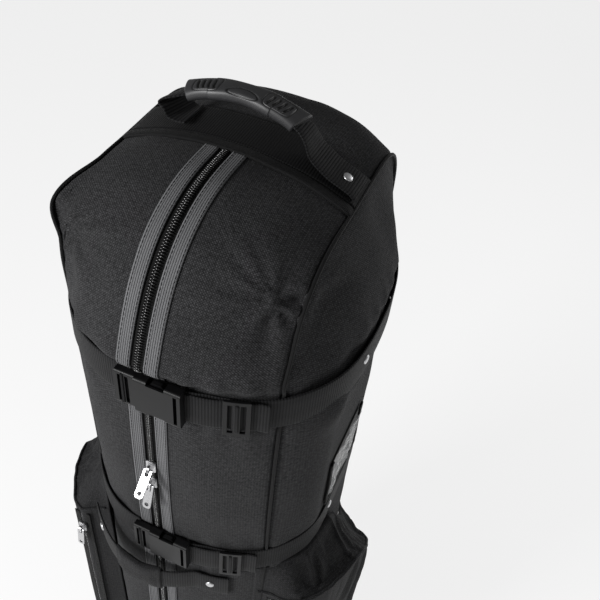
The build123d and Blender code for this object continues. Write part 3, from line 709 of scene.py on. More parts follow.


# the cloth's colour in the weave's painted shade, and on its painted highlights
BLACK_DEEP, BLACK_BRIGHT = (0.0018, 0.0018, 0.0019), (0.054, 0.054, 0.0563)
M = {
    "body": cloth_material("polyester", BLACK_DEEP, BLACK_BRIGHT, 1.8, sheen=0.03),
    "pocket": cloth_material("pocket_polyester", BLACK_DEEP, (0.042, 0.042, 0.044), 1.8, sheen=0.03),
    "foam": cloth_material("foam_lining", (0.02, 0.02, 0.021), (0.05, 0.05, 0.052), 0.8),
    "binding": ribbed_material("binding_tape", (0.0015, 0.0015, 0.0015), (0.012, 0.012, 0.0125), 1.1),
    "webbing": ribbed_material("webbing", (0.0010, 0.0010, 0.0011), (0.015, 0.015, 0.016), 2.9),
    "band": ribbed_material("band_tape", (0.0010, 0.0010, 0.0011), (0.0065, 0.0065, 0.007), 2.6),
    "tape": tape_material(),
    "coil_tape": ribbed_material("coil_tape", (0.001, 0.001, 0.001), (0.006, 0.006, 0.006), 1.2, swap=True),
    "buckle": plastic_material("acetal", (0.003, 0.003, 0.0033), (0.006, 0.006, 0.0065), 0.38, shine=0.2),
    "coil": plastic_material("nylon_coil", (0.005, 0.005, 0.005), (0.014, 0.014, 0.0145), 0.25, 0.02,
                             shine=0.8),
    "grip": grip_material(),
    "base": plastic_material("moulded_base", (0.008, 0.008, 0.0085), (0.024, 0.024, 0.025), 0.55, 0.22,
                             0.7),
    "rubber": plastic_material("rubber_feet", (0.008, 0.008, 0.008), (0.02, 0.02, 0.02), 0.75),
    "hub": plastic_material("wheel_hub", (0.03, 0.03, 0.032), (0.06, 0.06, 0.062), 0.45),
    "tyre": plastic_material("urethane_tyre", (0.012, 0.012, 0.013), (0.04, 0.04, 0.042), 0.5),
    "nickel": metal_material("nickel", (0.60, 0.60, 0.61), 0.20),
    "rivet": metal_material("rivet_metal", (0.62, 0.62, 0.63), 0.3),
    "steel": metal_material("zinc_steel", (0.55, 0.56, 0.58), 0.35),
    "grey_thread": plastic_material("grey_thread", (0.014, 0.014, 0.015), (0.03, 0.03, 0.032), 0.8),
    "card": plastic_material("card", (0.055, 0.055, 0.055), (0.075, 0.075, 0.074), 0.6),
    "vinyl": vinyl_material(),
}


# ---------------------------------------------------------------- fabric body
S_BINDING = along_at_y(BINDING_Y)
TAPE_INNER = 7.0
TAPE_OUTER = 20.5
CLOTH = 2.2                      # thickness of the bag's cloth
COIL_PITCH = 2.6


def make_panels():
    """The five fabric panels of the bag."""
    for side, name in SIDES:
        x0, x1 = sorted((side * TAPE_INNER, side * SEAMS[side]))
        grid, cloth = belt_grid(x0, x1, 0, S_BINDING + 10, step=3.6)
        panel = sheet_object(f"front_cloth_{name}", grid, cloth, CLOTH, "body", "body_fabric",
                             f"front_panel_{name}")
    grid, cloth = belt_grid(-SEAMS[-1], SEAMS[1], S_BINDING + 4, LENGTH)
    back = sheet_object("back_cloth", grid, cloth, CLOTH, "body", "body_fabric", "back_panel")
    for side, name in SIDES:
        seam = SEAM_LINES[side]
        flat = coons(seam, 52, 190)
        y, z = flat[..., 0], flat[..., 1]
        x = side_out(side, y, z, seam)
        calm = 1.0
        if side > 0:
            x, calm = flatten_for_card(x, y, z)
        grid = np.stack([side * x, y, z], axis=-1)
        out = x - seam_x(side, y, z)
        edge = 1.6 * np.exp(-(out / 1.6) ** 2)
        folds = (creases(grid) * smooth(out / 9) + tucks(grid) * smooth(out / 4)) * calm
        grid = grid + outward(grid) * (folds - edge)[..., None]
        panel = sheet_object(f"side_cloth_{name}", grid, np.stack([y, z, 0 * x], -1), CLOTH, "body",
                             "body_fabric", f"side_panel_{name}")


def coil_path(spot, way, up, reach, rise):
    """One turn of a zip's coil: it starts under the other side and comes up over its own."""
    return spot + np.outer(reach, way) + np.outer(rise, up)


def make_zip():
    """Two grey tapes sewn down beside the coils, from the base to the binding."""
    s0, s1 = 4.0, S_BINDING + 3
    for side, name in SIDES:
        x0, x1 = sorted((side * TAPE_INNER, side * TAPE_OUTER))
        grid, cloth = belt_grid(x0, x1, s0, s1, step=4.0, out=1.5, columns=7)
        sheet_object(f"tape_{name}", grid, cloth, 1.2, "tape", "zip_tape", f"zip_tape_{name}")
        rows = []
        for x in (TAPE_INNER + 1.6, TAPE_OUTER - 1.7):
            line, _ = belt_grid(side * x, side * x + 0.01, s0 + 3, s1, step=2.5, out=1.6, columns=2)
            rows += stitches(line[:, 0], outward(line)[:, 0])
        parts_object(f"tape_stitches_{name}", rows, "grey_thread", "zip_tape", turned=False)
    grid, cloth = belt_grid(-TAPE_INNER - 1, TAPE_INNER + 1, s0, s1, step=4.0, out=-0.6, columns=5)
    sheet_object("coil_tape", grid, cloth, 1.0, "coil_tape", "zip_coil")
    line, _ = belt_grid(-0.01, 0.01, s0 + 2, s1 - 2, step=2.0, out=0.2, columns=3)
    up = outward(line)[:, 1]
    line = line[:, 1]
    d = run_of(line)
    parts = []
    for i, t in enumerate(np.arange(1.0, d[-1] - 1.0, COIL_PITCH / 2)):
        way = [1.0 if i % 2 else -1.0, 0.0, 0.0]
        path = coil_path(along_line(t, d, line), way, along_line(t, d, up),
                         [-1.0, -0.2, 1.2, 2.6, 3.3], [0.55, 1.5, 1.7, 1.35, 0.2])
        parts.append(tube(path, 0.58, 6))
    parts_object("coil_teeth", parts, "coil", "zip_coil", "zip_coils", turned=False)


def make_band():
    """The webbing band across the hood, and the binding strip in front of it."""
    s0, s1, s2 = S_BINDING, along_at_y(BAND_Y0), along_at_y(BAND_Y1)
    grid, cloth = belt_grid(-SEAMS[-1], SEAMS[1], s1, s2, step=3.0, out=3.0, fold=0.4)
    sheet_object("band_webbing", grid, cloth, 2.4, "band", "webbing", "top_band")
    grid, cloth = belt_grid(-SEAMS[-1], SEAMS[1], s0, s1, step=1.2, fold=0.4)
    across = np.abs(np.linspace(-1, 1, grid.shape[0]))
    rise = 3.4 * (1 - across ** 6) + 0.5 * bump(across, 0.78, 0.09)
    grid = grid + outward(grid) * rise[:, None, None]
    sheet_object("hood_binding", grid, cloth, 1.2, "binding", "binding", "top_binding")


# ---------------------------------------------------------------- straps
def trunk_ring(z, spacing=3.0):
    """A closed line round the bag at height z, anticlockwise from the zip, as seen from above."""
    s = float(np.interp(z, PROFILE[:TOP_INDEX, 1], ALONG[:TOP_INDEX]))
    s_back = float(LENGTH - (z - BASE_Z))
    half = {}
    for k in (1, -1):
        xs = k * np.linspace(0, SEAMS[k], 30)
        front = belt(xs, np.full(30, s))
        back = belt(xs[::-1], np.full(30, s_back))
        ys = np.linspace(front[-1, 1], back[0, 1], 60)[1:-1]
        x = side_out(k, ys, np.full(58, z), SEAM_LINES[k])
        half[k] = np.concatenate([front, np.stack([k * x, ys, np.full(58, z)], axis=1), back])
    line = np.concatenate([half[1], half[-1][::-1][1:-1]])
    line[:, 2] = z
    for _ in range(6):
        line = 0.5 * line + 0.25 * (np.roll(line, 1, 0) + np.roll(line, -1, 0))
    closed = np.concatenate([line, line[:1]])
    d = run_of(closed)
    return along_line(np.linspace(0, d[-1], int(d[-1] / spacing)), d, closed), d[-1]


def ring_normals(line):
    """Level directions square to a line that runs anticlockwise."""
    t = np.gradient(line, axis=0)
    return unit(np.stack([t[:, 1], -t[:, 0], 0 * t[:, 0]], axis=1))


SECTION = [(-1.0, 0.0), (-0.97, 0.35), (-0.9, 0.5), (-0.3, 0.5), (0.3, 0.5), (0.9, 0.5), (0.97, 0.35),
           (1.0, 0.0), (0.97, -0.35), (0.9, -0.5), (0.0, -0.5), (-0.9, -0.5), (-0.97, -0.35)]
THICK = 2.2                      # webbing
STRAP_RIVET_Y = -48.0


def ribbon(path, side, up, half, thick=THICK, start=0.0):
    """Webbing as a closed band: a thin rounded section carried along a path."""
    n = len(path)
    side, up = np.broadcast_to(side, (n, 3)), np.broadcast_to(up, (n, 3))
    half = np.broadcast_to(half, n)
    run = start + run_of(path)
    points = np.zeros((n, len(SECTION), 3))
    marks = np.zeros_like(points)
    for c, (w, t) in enumerate(SECTION):
        points[:, c] = path + side * (w * half)[:, None] + up * (t * thick)
        marks[:, c, 0] = run
        marks[:, c, 1] = w * half
    return points, marks


def band_object(name, bands, body, key="webbing"):
    """Several closed bands as one piece."""
    verts, faces, cloth, start = [], [], [], 0
    for points, marks in bands:
        rows, columns = points.shape[:2]
        faces += capped_faces(rows, columns, start)
        verts.append(points.reshape(-1, 3))
        cloth.append(marks.reshape(-1, 3))
        start += rows * columns
    obj = new_object(name, np.concatenate(verts), faces, body, np.concatenate(cloth))
    recalculate(obj)
    return paint(obj, key)


RINGS = [trunk_ring((z0 + z1) / 2, 1.5) for z0, z1 in STRAPS]


def run_at_x(ring, total, x):
    """Distance along the ring, from the zip, to the place on the front at x."""
    line = ring[:len(ring) // 4] if x >= 0 else ring[3 * len(ring) // 4:]
    d = np.linspace(0, total, len(ring))
    d = d[:len(ring) // 4] if x >= 0 else d[3 * len(ring) // 4:]
    return float(np.interp(x, line[:, 0], d))


def make_straps():
    """Three compression straps: webbing round the trunk and a doubled tail at the tri-glide."""
    for k in (1, 2, 3):
        z0, z1 = STRAPS[k - 1]
        half = (z1 - z0) / 2
        ring, total = RINGS[k - 1]
        n = ring_normals(ring)
        d = np.linspace(0, total, len(ring))
        socket_end = high(f"buckle_{k}_female")[0]
        plug_end = low(f"buckle_{k}_male")[0]
        right = run_at_x(ring, total, socket_end - 4.0)
        bar = run_at_x(ring, total, plug_end + 9.0)
        left = bar + 6.0
        keep = (d > right) & (d < left)
        path, up, run = ring[keep], n[keep], d[keep]
        slack = 0.4 * np.sin(run / 37.0 + k) ** 2
        lift = THICK / 2 + 1.0 + slack + 3.2 * (1 - smooth((run - right) / 26)) + 11.6 * bump(run, bar, 3.2)
        wander = 0.5 * np.sin(run / 53.0) + 0.35 * np.sin(run / 19.0 + 1)
        main = path + up * lift[:, None] + np.outer(wander, [0, 0, 1.0])
        bands = [ribbon(main, (0, 0, 1.0), up, half)]

        glide0, glide1 = (run_at_x(ring, total, end(f"strap_{k}_glide")[0]) for end in (low, high))
        middle = (glide0 + glide1) / 2
        tail_end = glide1 + 17.0
        keep = (d > right + 3) & (d < tail_end)
        path, up, run = ring[keep], n[keep], d[keep]
        lift = (1.5 * THICK + 1.3 + 2.6 * (1 - smooth((run - right) / 30))
                + 1.2 * np.sin((run - right) / 17.0) ** 2 * smooth((glide0 - run) / 8)
                + 5.0 * bump(run, middle, 3.6)
                + 2.6 * smooth((run - tail_end + 13) / 13))
        tail = path + up * lift[:, None] + np.outer(0.6 * np.sin(run / 11.0), [0, 0, 1.0])
        bands.append(ribbon(tail, (0, 0, 1.0), up, half - 0.6, start=900.0))
        strap = band_object(f"compression_strap_{k}", bands, "case")
        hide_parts(f"strap_{k}_webbing")
        make_glide(k, ring, n, d, glide0, glide1)


def make_glide(k, ring, n, d, run0, run1):
    """A tri-glide: a flat frame with two slots, bent to the strap."""
    z0, z1 = STRAPS[k - 1]
    half, span = (z1 - z0) / 2 + 4.0, run1 - run0
    us = np.array([0, 0.5, 3.4, 3.9, 8.6, 9.1])
    us = np.concatenate([us, span - us[::-1]])
    ws = half - np.array([0, 0.6, 4.2, 4.7])
    ws = np.concatenate([-ws, [-8, 0, 8], ws[::-1]])
    slots = (3, 7)
    middle = along_line(run0 + us, d, ring) + along_line(run0 + us, d, n) * (2 * THICK + 1.9 + 1.4)
    grid = middle[:, None] + np.outer(ws, [0, 0, 1.0])
    rows = len(ws)
    faces = [(i * rows + j, (i + 1) * rows + j, (i + 1) * rows + j + 1, i * rows + j + 1)
             for i in range(len(us) - 1) for j in range(rows - 1)
             if i not in slots or not 3 <= j < rows - 4]
    glide = new_object(f"tri_glide_{k}", grid, faces, "case", smooth_faces=False)
    recalculate(glide)
    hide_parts(f"strap_{k}_glide")
    thicken(glide, 2.8, 0.0)
    soften(glide, 0.8, 3)
    paint(glide, "buckle")


# ---------------------------------------------------------------- seams, padding and rivets
def make_seams():
    """Piped seams between the belt of panels and the side panels, and the hood's padding."""
    for side, name in SIDES:
        grid = belt(side * np.array([SEAMS[side] - 2, SEAMS[side]])[None] + 0 * ALONG[:, None],
                    ALONG[:, None] + np.zeros((1, 2)))
        lift = unit(outward(grid)[:, 1] + [side * 0.6, 0, 0])
        path = along_line(np.arange(2.0, LENGTH - 2.0, 3.0), ALONG, SEAM_LINES[side] + lift * 0.1)
        parts_object(f"seam_piping_{name}", [tube(path, 1.9)], "binding", "binding", cloth=True)
    foam_low = low("hood_foam_pad")[2]
    s0 = float(np.interp(foam_low, PROFILE[:TOP_INDEX, 1], ALONG[:TOP_INDEX]))
    s1 = float(LENGTH - (foam_low - BASE_Z))
    grid, cloth = belt_grid(-SEAMS[-1] + 12, SEAMS[1] - 12, s0, s1, step=9.0, out=-7.0, fold=0.0)
    pad = sheet_object("hood_padding", grid, cloth, 7.0, "foam", "foam_lining", "hood_foam_pad")


def dome(centre, normal, radius=5.0, height=1.9):
    """A rivet head that stands on a surface."""
    normal = unit(np.asarray(normal, float))
    a = unit(np.cross(normal, [0.0, 0.0, 1.0] if abs(normal[2]) < 0.9 else [1.0, 0.0, 0.0]))
    b = np.cross(normal, a)
    rings = [(0.93, -0.9), (1.0, -0.3), (1.0, 0.25), (0.94, 0.55), (0.8, 0.8), (0.55, 0.95), (0.25, 1.0)]
    turn = np.linspace(0, 2 * math.pi, 28, endpoint=False)
    circle = np.outer(np.cos(turn), a) + np.outer(np.sin(turn), b)
    verts = [centre + radius * r * circle + normal * h * height for r, h in rings]
    verts = np.concatenate(verts + [[centre + normal * height]])
    top = len(verts) - 1
    faces = grid_faces(len(rings), 28, closed=True)
    faces += [(top - 28 + i, top - 28 + (i + 1) % 28, top) for i in range(28)]
    faces.append(tuple(range(28))[::-1])
    return verts, faces


def make_strap_rivets():
    """One rivet through each strap on both sides."""
    parts = []
    for ring, _ in RINGS:
        n = ring_normals(ring)
        for side in (1, -1):
            on_side = np.where(side * ring[:, 0] > 100)[0]
            i = on_side[np.argmin(np.abs(ring[on_side, 1] - STRAP_RIVET_Y))]
            parts.append(dome(ring[i] + n[i] * (THICK + 1.2), n[i]))
    parts_object("strap_rivet_heads", parts, "rivet", "rivet_metal", "strap_rivets")


# ---------------------------------------------------------------- top handle
GRIP_HALF, GRIP_BACK_Y, GRIP_TOP = high("top_handle_grip")
_, GRIP_FRONT_Y, GRIP_LOW = low("top_handle_grip")
HANDLE_Y = (GRIP_FRONT_Y + GRIP_BACK_Y) / 2
GRIP_THICK = 15.0
GRIP_RISE = GRIP_TOP - GRIP_LOW - GRIP_THICK
GRIP_TILT = math.radians(120)    # the pattern is moulded round the top front of the grip
HANDLE_RIVET_X = 106.0


def arch_z(x):
    """Height of the grip's middle line."""
    return GRIP_LOW + GRIP_THICK / 2 + GRIP_RISE * (1 - (x / GRIP_HALF) ** 2)


def rings_along(xs, around):
    """Stations x and angles for a closed shape that lies across the bag."""
    turn = np.linspace(0, 2 * math.pi, around, endpoint=False)
    return np.meshgrid(xs, turn, indexing="ij")


def squared(wave, power):
    """A sine or cosine pushed outward, which makes a circle squarer."""
    return np.sign(wave) * np.abs(wave) ** power


def make_grip():
    """A moulded grip with an outlined oval in the middle and finger grooves on each side."""
    tips = GRIP_HALF - np.array([0.0, 0.25, 0.9])
    xs = np.concatenate([-tips, np.linspace(-GRIP_HALF + 1.6, GRIP_HALF - 1.6, 240), tips[::-1]])
    x, a = rings_along(xs, 112)
    end = np.clip((GRIP_HALF - np.abs(x)) / 1.8, 0, 1)
    shrink = 0.8 + 0.2 * np.sqrt(1 - (1 - end) ** 2)
    wide = (13.3 - 1.1 * np.cos(math.pi * np.clip(x / 30, -1, 1)) * (np.abs(x) < 30)) * shrink
    thick = (7.4 - 0.6 * (x / GRIP_HALF) ** 2) * shrink
    y, z = wide * squared(np.cos(a), 2 / 2.7), thick * squared(np.sin(a), 2 / 2.7)
    top = smooth((np.cos(a - GRIP_TILT) + 0.05) / 0.4)
    girth = 11.5 * (GRIP_TILT - a)
    oval = np.sqrt(((x - 2.0) / 14.5) ** 2 + ((girth + 2.6) / 6.2) ** 2)
    dent = 0.95 * np.exp(-((oval - 1) / 0.07) ** 2) + 0.35 * (oval < 1)
    for side in (-1, 1):
        u, w = side * x - 34.0, girth - 2.8
        inset = ((np.abs(u) / 13.5) ** 4 + (np.abs(w) / 8.2) ** 4) ** 0.25
        dent = dent + 0.8 * np.exp(-((inset - 1) / 0.055) ** 2)
        for step in range(4):
            slant = u - (step - 1.5) * 5.4 - 0.28 * w
            dent = dent + 2.1 * np.exp(-(slant / 1.15) ** 4) * np.exp(-(w / 5.2) ** 6)
    y = y - dent * top * np.cos(a)
    z = z - dent * top * np.sin(a)
    lean = np.arctan(-2 * GRIP_RISE * x / GRIP_HALF ** 2)
    px = x - z * np.sin(lean) + 0.35 * y * np.sign(x) * np.abs(x / GRIP_HALF) ** 4
    grid = np.stack([px, HANDLE_Y + y, arch_z(x) + z * np.cos(lean)], axis=-1)
    grip = new_object("moulded_grip", grid, capped_faces(*x.shape), "top_handle")
    # painted shade: the deepest parts of the grooves are marked for the grip's material to darken
    marks = grip.data.attributes.new("groove_shade", "FLOAT", "POINT")
    marks.data.foreach_set("value", np.clip((dent * top - 0.25) / 0.7, 0, 1).astype(np.float32).ravel())
    recalculate(grip)
    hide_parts("top_handle_grip", "top_handle_core")
    paint(grip, "grip")


def hood_z(x, y):
    """Height of the hood's cloth at a place near its middle."""
    s = along_at_y(y)
    return float(belt(np.array([x]), np.array([s]))[0, 2])


def spline(points, count):
    """A smooth curve through a few points."""
    points = np.asarray(points, float)
    d = run_of(points)
    t = np.linspace(0, d[-1], count)
    tangent = np.gradient(points, d, axis=0)
    i = np.clip(np.searchsorted(d, t, side="right") - 1, 0, len(points) - 2)
    h = (d[i + 1] - d[i])[:, None]
    q = ((t - d[i])[:, None]) / h
    p0, p1, m0, m1 = points[i], points[i + 1], tangent[i] * h, tangent[i + 1] * h
    return ((2 * q ** 3 - 3 * q ** 2 + 1) * p0 + (q ** 3 - 2 * q ** 2 + q) * m0
            + (-2 * q ** 3 + 3 * q ** 2) * p1 + (q ** 3 - q ** 2) * m1)


def make_top_handle():
    """Webbing from inside the grip down to the hood, with a rivet at its right end."""
    make_grip()
    z_grip = arch_z(50.0) + 0.5
    parts = []
    for side, name in SIDES:
        def seat(x, more=0.0):
            return hood_z(side * x, HANDLE_Y) + THICK + 4.8 + more

        if side > 0:
            stations = [(48, z_grip + 0.4), (56, z_grip - 3.2), (64, z_grip - 9.5), (74, seat(74, 7.0)),
                        (84, seat(84, 2.6)), (94, seat(94)), (106, seat(106)), (115, seat(115)),
                        (120, seat(120, -1.5))]
            widths = [11.5, 12.5, 15, 17.5, 19, 19, 19, 19, 19]
            skews = [0] * 9
        else:
            stations = [(48, z_grip + 0.4), (53, z_grip - 1.0), (58, z_grip - 2.8), (64, z_grip - 5.6),
                        (69.5, z_grip - 9.0), (71.8, z_grip - 11.8), (71.6, z_grip - 14.4),
                        (68.5, z_grip - 16.8), (64, seat(64, 3.0)), (59, seat(59, 0.6)), (51, seat(51))]
            widths = [11.5, 13.0, 16.0, 18.5, 19, 19, 19, 19, 19, 19, 19]
            skews = [0, 0, 0.1, 0.22, 0.3, 0.32, 0.3, 0.25, 0.2, 0.1, 0]
        track = spline([(side * x, HANDLE_Y, z) for x, z in stations], 90)
        share, knots = np.linspace(0, 1, 90), np.linspace(0, 1, len(widths))
        half, skew = np.interp(share, knots, widths), np.interp(share, knots, skews)
        across = np.stack([skew, np.ones(90), 0 * skew], axis=1)
        up = np.cross(unit(np.gradient(track, axis=0)), [0, side * 1.0, 0])
        up *= np.where(up[:1, 2:] < 0, -1, 1)
        strap = band_object(f"handle_webbing_{name}", [ribbon(track, across, up, half)], None)
        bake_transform(strap)
        if side > 0:
            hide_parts("top_handle_straps")
            x = HANDLE_RIVET_X
            slope = (hood_z(x + 3, HANDLE_Y) - hood_z(x - 3, HANDLE_Y)) / 6
            parts.append(dome(np.array([x, HANDLE_Y, seat(x) + THICK / 2]), (-slope, 0, 1)))
    parts_object("handle_rivet_heads", parts + carry_rivets(), "rivet", "rivet_metal", "handle_rivets")


# ---------------------------------------------------------------- front carry handle
CARRY_X_MID, _, CARRY_Z_MID = (low("carry_handle_webbing") + high("carry_handle_webbing")) / 2
CARRY_FRONT = low("carry_handle_webbing")[1]
CARRY_ARC_HALF = 66.0
CARRY_ENDS = {-1: low("carry_handle_ends")[0], 1: high("carry_handle_ends")[0]}
CARRY_RIVETS = {-1: -86.0, 1: 66.0}


def carry_loop_y(x):
    """Depth of the middle of the loop's webbing at a place across the front."""
    return CARRY_FRONT + THICK / 2 + ((x - CARRY_X_MID) / CARRY_ARC_HALF) ** 2 * (FRONT_Y - CARRY_FRONT)


def carry_path(side, count=80):
    """Half of the carry handle: from its middle out to its sewn end on the front."""
    s = float(np.interp(CARRY_Z_MID, PROFILE[:TOP_INDEX, 1], ALONG[:TOP_INDEX]))
    xs = np.linspace(CARRY_X_MID, CARRY_ENDS[side], count)
    wall = belt(xs, np.full(count, s))
    y = np.minimum(carry_loop_y(xs), wall[:, 1] - THICK / 2 - 1.2)
    for _ in range(12):
        y[1:-1] = 0.5 * y[1:-1] + 0.25 * (y[2:] + y[:-2])
    return np.stack([xs, np.minimum(y, wall[:, 1] - THICK / 2 - 1.0), np.full(count, CARRY_Z_MID)], axis=1)


def carry_rivets():
    """The rivet heads in both sewn ends."""
    parts = []
    for side in (1, -1):
        path = carry_path(side)
        i = int(np.argmin(np.abs(path[:, 0] - CARRY_RIVETS[side])))
        normal = ring_normals(path)[i] * side
        parts.append(dome(path[i] + normal * THICK / 2, normal))
    return parts


def make_carry_handle():
    """A webbing loop across the front, with a soft padded wrap round its middle."""
    half = high("carry_handle_webbing")[2] - CARRY_Z_MID
    for side, name in SIDES:
        path = carry_path(side)
        web = ribbon(path, (0, 0, 1.0), ring_normals(path) * side, half)
        loop = band_object(f"carry_webbing_{name}", [web], None)
        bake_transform(loop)
        if side > 0:
            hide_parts("carry_handle_webbing", "carry_handle_ends")
    xs = np.linspace(low("carry_handle_wrap")[0] - 1.0, high("carry_handle_wrap")[0] + 1.0, 60)
    x, a = rings_along(xs, 72)
    tall = (high("carry_handle_wrap")[2] - low("carry_handle_wrap")[2]) / 2
    edge = np.minimum(x - xs[0], xs[-1] - x)
    plump = 3.6 + 1.8 * smooth(edge / 12) + 0.6 * bump(edge, 1.8, 1.2)
    z = (tall + 0.6 * np.sin(x / 7.0)) * squared(np.sin(a), 0.62)
    y = carry_loop_y(x) - plump * squared(np.cos(a), 0.62)
    grid = np.stack([x, y, CARRY_Z_MID + z], axis=-1)
    grid[..., 1] -= 0.7 * ripple(grid * [1, 0.2, 0.6], 24, 17) * smooth(edge / 8)
    cloth = np.stack([x, tall * a, 0 * x], axis=-1)
    wrap = new_object("handle_wrap", grid, capped_faces(*x.shape), "carry_handle", cloth)
    recalculate(wrap)
    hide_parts("carry_handle_wrap")
    paint(wrap, "pocket")


# ---------------------------------------------------------------- side pockets
POCKET_Z0 = low("pocket_right")[2] + 2.0
POCKET_GUSSET = 58.0             # the sloping strip under the top seam
POCKET_FOOT = 44.0               # the strip under the pocket's face
POCKET_PLAN = {
    1: [(112, -152), (124, -147.5), (134, -145), (158, -143), (177, -132), (193, -108), (205, -76),
        (213, -38), (214, 2), (212, 38), (205, 64), (188, 77), (165, 80)],
    -1: [(-100, -146), (-118, -146), (-134, -145), (-146, -139), (-160, -121), (-175, -94), (-187, -60),
         (-194, -25), (-198, 8), (-198, 38), (-192, 64), (-176, 78), (-152, 82)],
}


def pocket_base(side):
    """The bag's own surface behind a pocket, sampled by height and by share of the way round."""
    heights = np.arange(POCKET_Z0 - 20, 850, 20.0)
    share = np.linspace(0, 1, 60)
    rows = []
    for z in heights:
        ring, _ = trunk_ring(z, 2.5)
        half = ring[:len(ring) // 2] if side > 0 else ring[::-1][:len(ring) // 2]
        d = run_of(half)
        first = int(np.argmax(side * half[:, 0] > abs(POCKET_PLAN[side][0][0])))
        last = int(np.argmax((half[:, 1] > 80) & (side * half[:, 0] > 60)))
        rows.append(along_line(np.linspace(d[first], d[last], len(share)), d, half))
    return heights, share, np.array(rows)


def pocket_top(y):
    """Height of the pocket's upper seam, which falls away towards the back."""
    return np.interp(y, [-150, -95, -50, -20, 5, 40, 80], [810, 808, 800, 772, 737, 690, 645])


def pocket_surface(side, u, v, folds=1.0):
    """A place on a pocket: u from its front edge to its back edge, v from its foot to its top seam."""
    heights, share, table = POCKET_BASES[side]
    plan = np.array(POCKET_PLAN[side], float)
    plan = spline(np.column_stack([plan, 0 * plan[:, 0]]), 160)
    outer = along_line(u, np.linspace(0, 1, 160), plan[:, :2])
    top = pocket_top(outer[..., 1])
    z = POCKET_Z0 + v * (top - POCKET_Z0)
    zi = np.clip((z - heights[0]) / 20.0, 0, len(heights) - 1.001)
    ui = np.clip(u * (len(share) - 1), 0, len(share) - 1.001)
    z0, u0 = zi.astype(int), ui.astype(int)
    fz, fu = (zi - z0)[..., None], (ui - u0)[..., None]
    base = ((1 - fz) * ((1 - fu) * table[z0, u0] + fu * table[z0, u0 + 1])
            + fz * ((1 - fu) * table[z0 + 1, u0] + fu * table[z0 + 1, u0 + 1]))[..., :2]
    fade = np.clip(u / 0.1, 0, 1)
    down = top - z
    upper = np.clip(down / POCKET_GUSSET, 0, 1)
    lower = np.clip((z - POCKET_Z0) / POCKET_FOOT, 0, 1)
    full = np.minimum(0.05 + 0.95 * upper ** 0.85, 0.05 + 0.95 * lower ** 0.8)
    full = np.where(u < 0.1, full * fade + (1 - fade) * 0.25, full)
    pos = np.concatenate([base + (outer - base) * full[..., None], z[..., None]], axis=-1)
    away = unit(outer - base)
    face = smooth((down - 40) / 60) * smooth((z - POCKET_Z0 - 30) / 60) * smooth((u - 0.30) / 0.12)
    face = face * smooth((1.0 - u) / 0.12)
    wave = ripple(np.stack([u * 330, z * 0.22, 0 * z], -1), 62, 41 + side, 6) * 4.6
    wave = wave + ripple(np.stack([u * 330, z * 0.55, 0 * z], -1), 30, 47 + side, 6) * 1.5 + 3.0
    gusset = bump(down, 30, 20) * smooth((u - 0.22) / 0.1) * smooth((1 - u) / 0.1)
    pucker = 2.4 * np.sin(u * 58 + 2 * np.sin(u * 21)) + 3.5
    slump_out = folds * (face * wave + gusset * pucker)
    pos[..., :2] += away * slump_out[..., None]
    droop = bump(down, POCKET_GUSSET, 26) * (0.5 + 0.5 * np.sin(u * 17 + side)) * smooth(u / 0.3)
    pos[..., 2] -= folds * 5.0 * droop
    return pos


POCKET_BASES = {side: pocket_base(side) for side in (1, -1)}


SETTLE_FRAMES = 20
EXTRA_CLOTH = 0.035              # the pockets are cut this much fuller than the shape they hang in
SAG_LIMIT = 9.0


def settle(grid, sewn):
    """Let the cloth of a grid buckle and sag under its weight between the places where it is sewn."""
    mesh = bpy.data.meshes.new("settling")
    mesh.from_pydata((grid.reshape(-1, 3) * MM).tolist(), [], grid_faces(*grid.shape[:2]))
    obj = add_object("settling", mesh)
    scene = bpy.context.scene
    group = obj.vertex_groups.new(name="sewn")
    for index, weight in enumerate(sewn.ravel().tolist()):
        if weight > 0.01:
            group.add([index], weight, "REPLACE")
    cloth = obj.modifiers.new("cloth", "CLOTH")
    cloth.settings.vertex_group_mass = "sewn"
    cloth.settings.quality = 5
    cloth.settings.mass = 0.3
    cloth.settings.tension_stiffness = 20
    cloth.settings.compression_stiffness = 20
    cloth.settings.bending_stiffness = 1.5
    cloth.settings.shrink_min = -EXTRA_CLOTH
    cloth.settings.shrink_max = -EXTRA_CLOTH
    cloth.collision_settings.use_collision = False
    cloth.point_cache.frame_end = SETTLE_FRAMES
    for step in range(1, SETTLE_FRAMES + 1):
        scene.frame_set(step)
    settled = obj.evaluated_get(bpy.context.evaluated_depsgraph_get()).to_mesh()
    coords = np.empty(len(settled.vertices) * 3)
    settled.vertices.foreach_get("co", coords)
    bpy.data.objects.remove(obj)
    scene.frame_set(1)
    moved = coords.reshape(grid.shape) / MM - grid
    far = np.linalg.norm(moved, axis=-1, keepdims=True)
    return grid + moved * np.minimum(1.0, SAG_LIMIT / np.maximum(far, 1e-6))


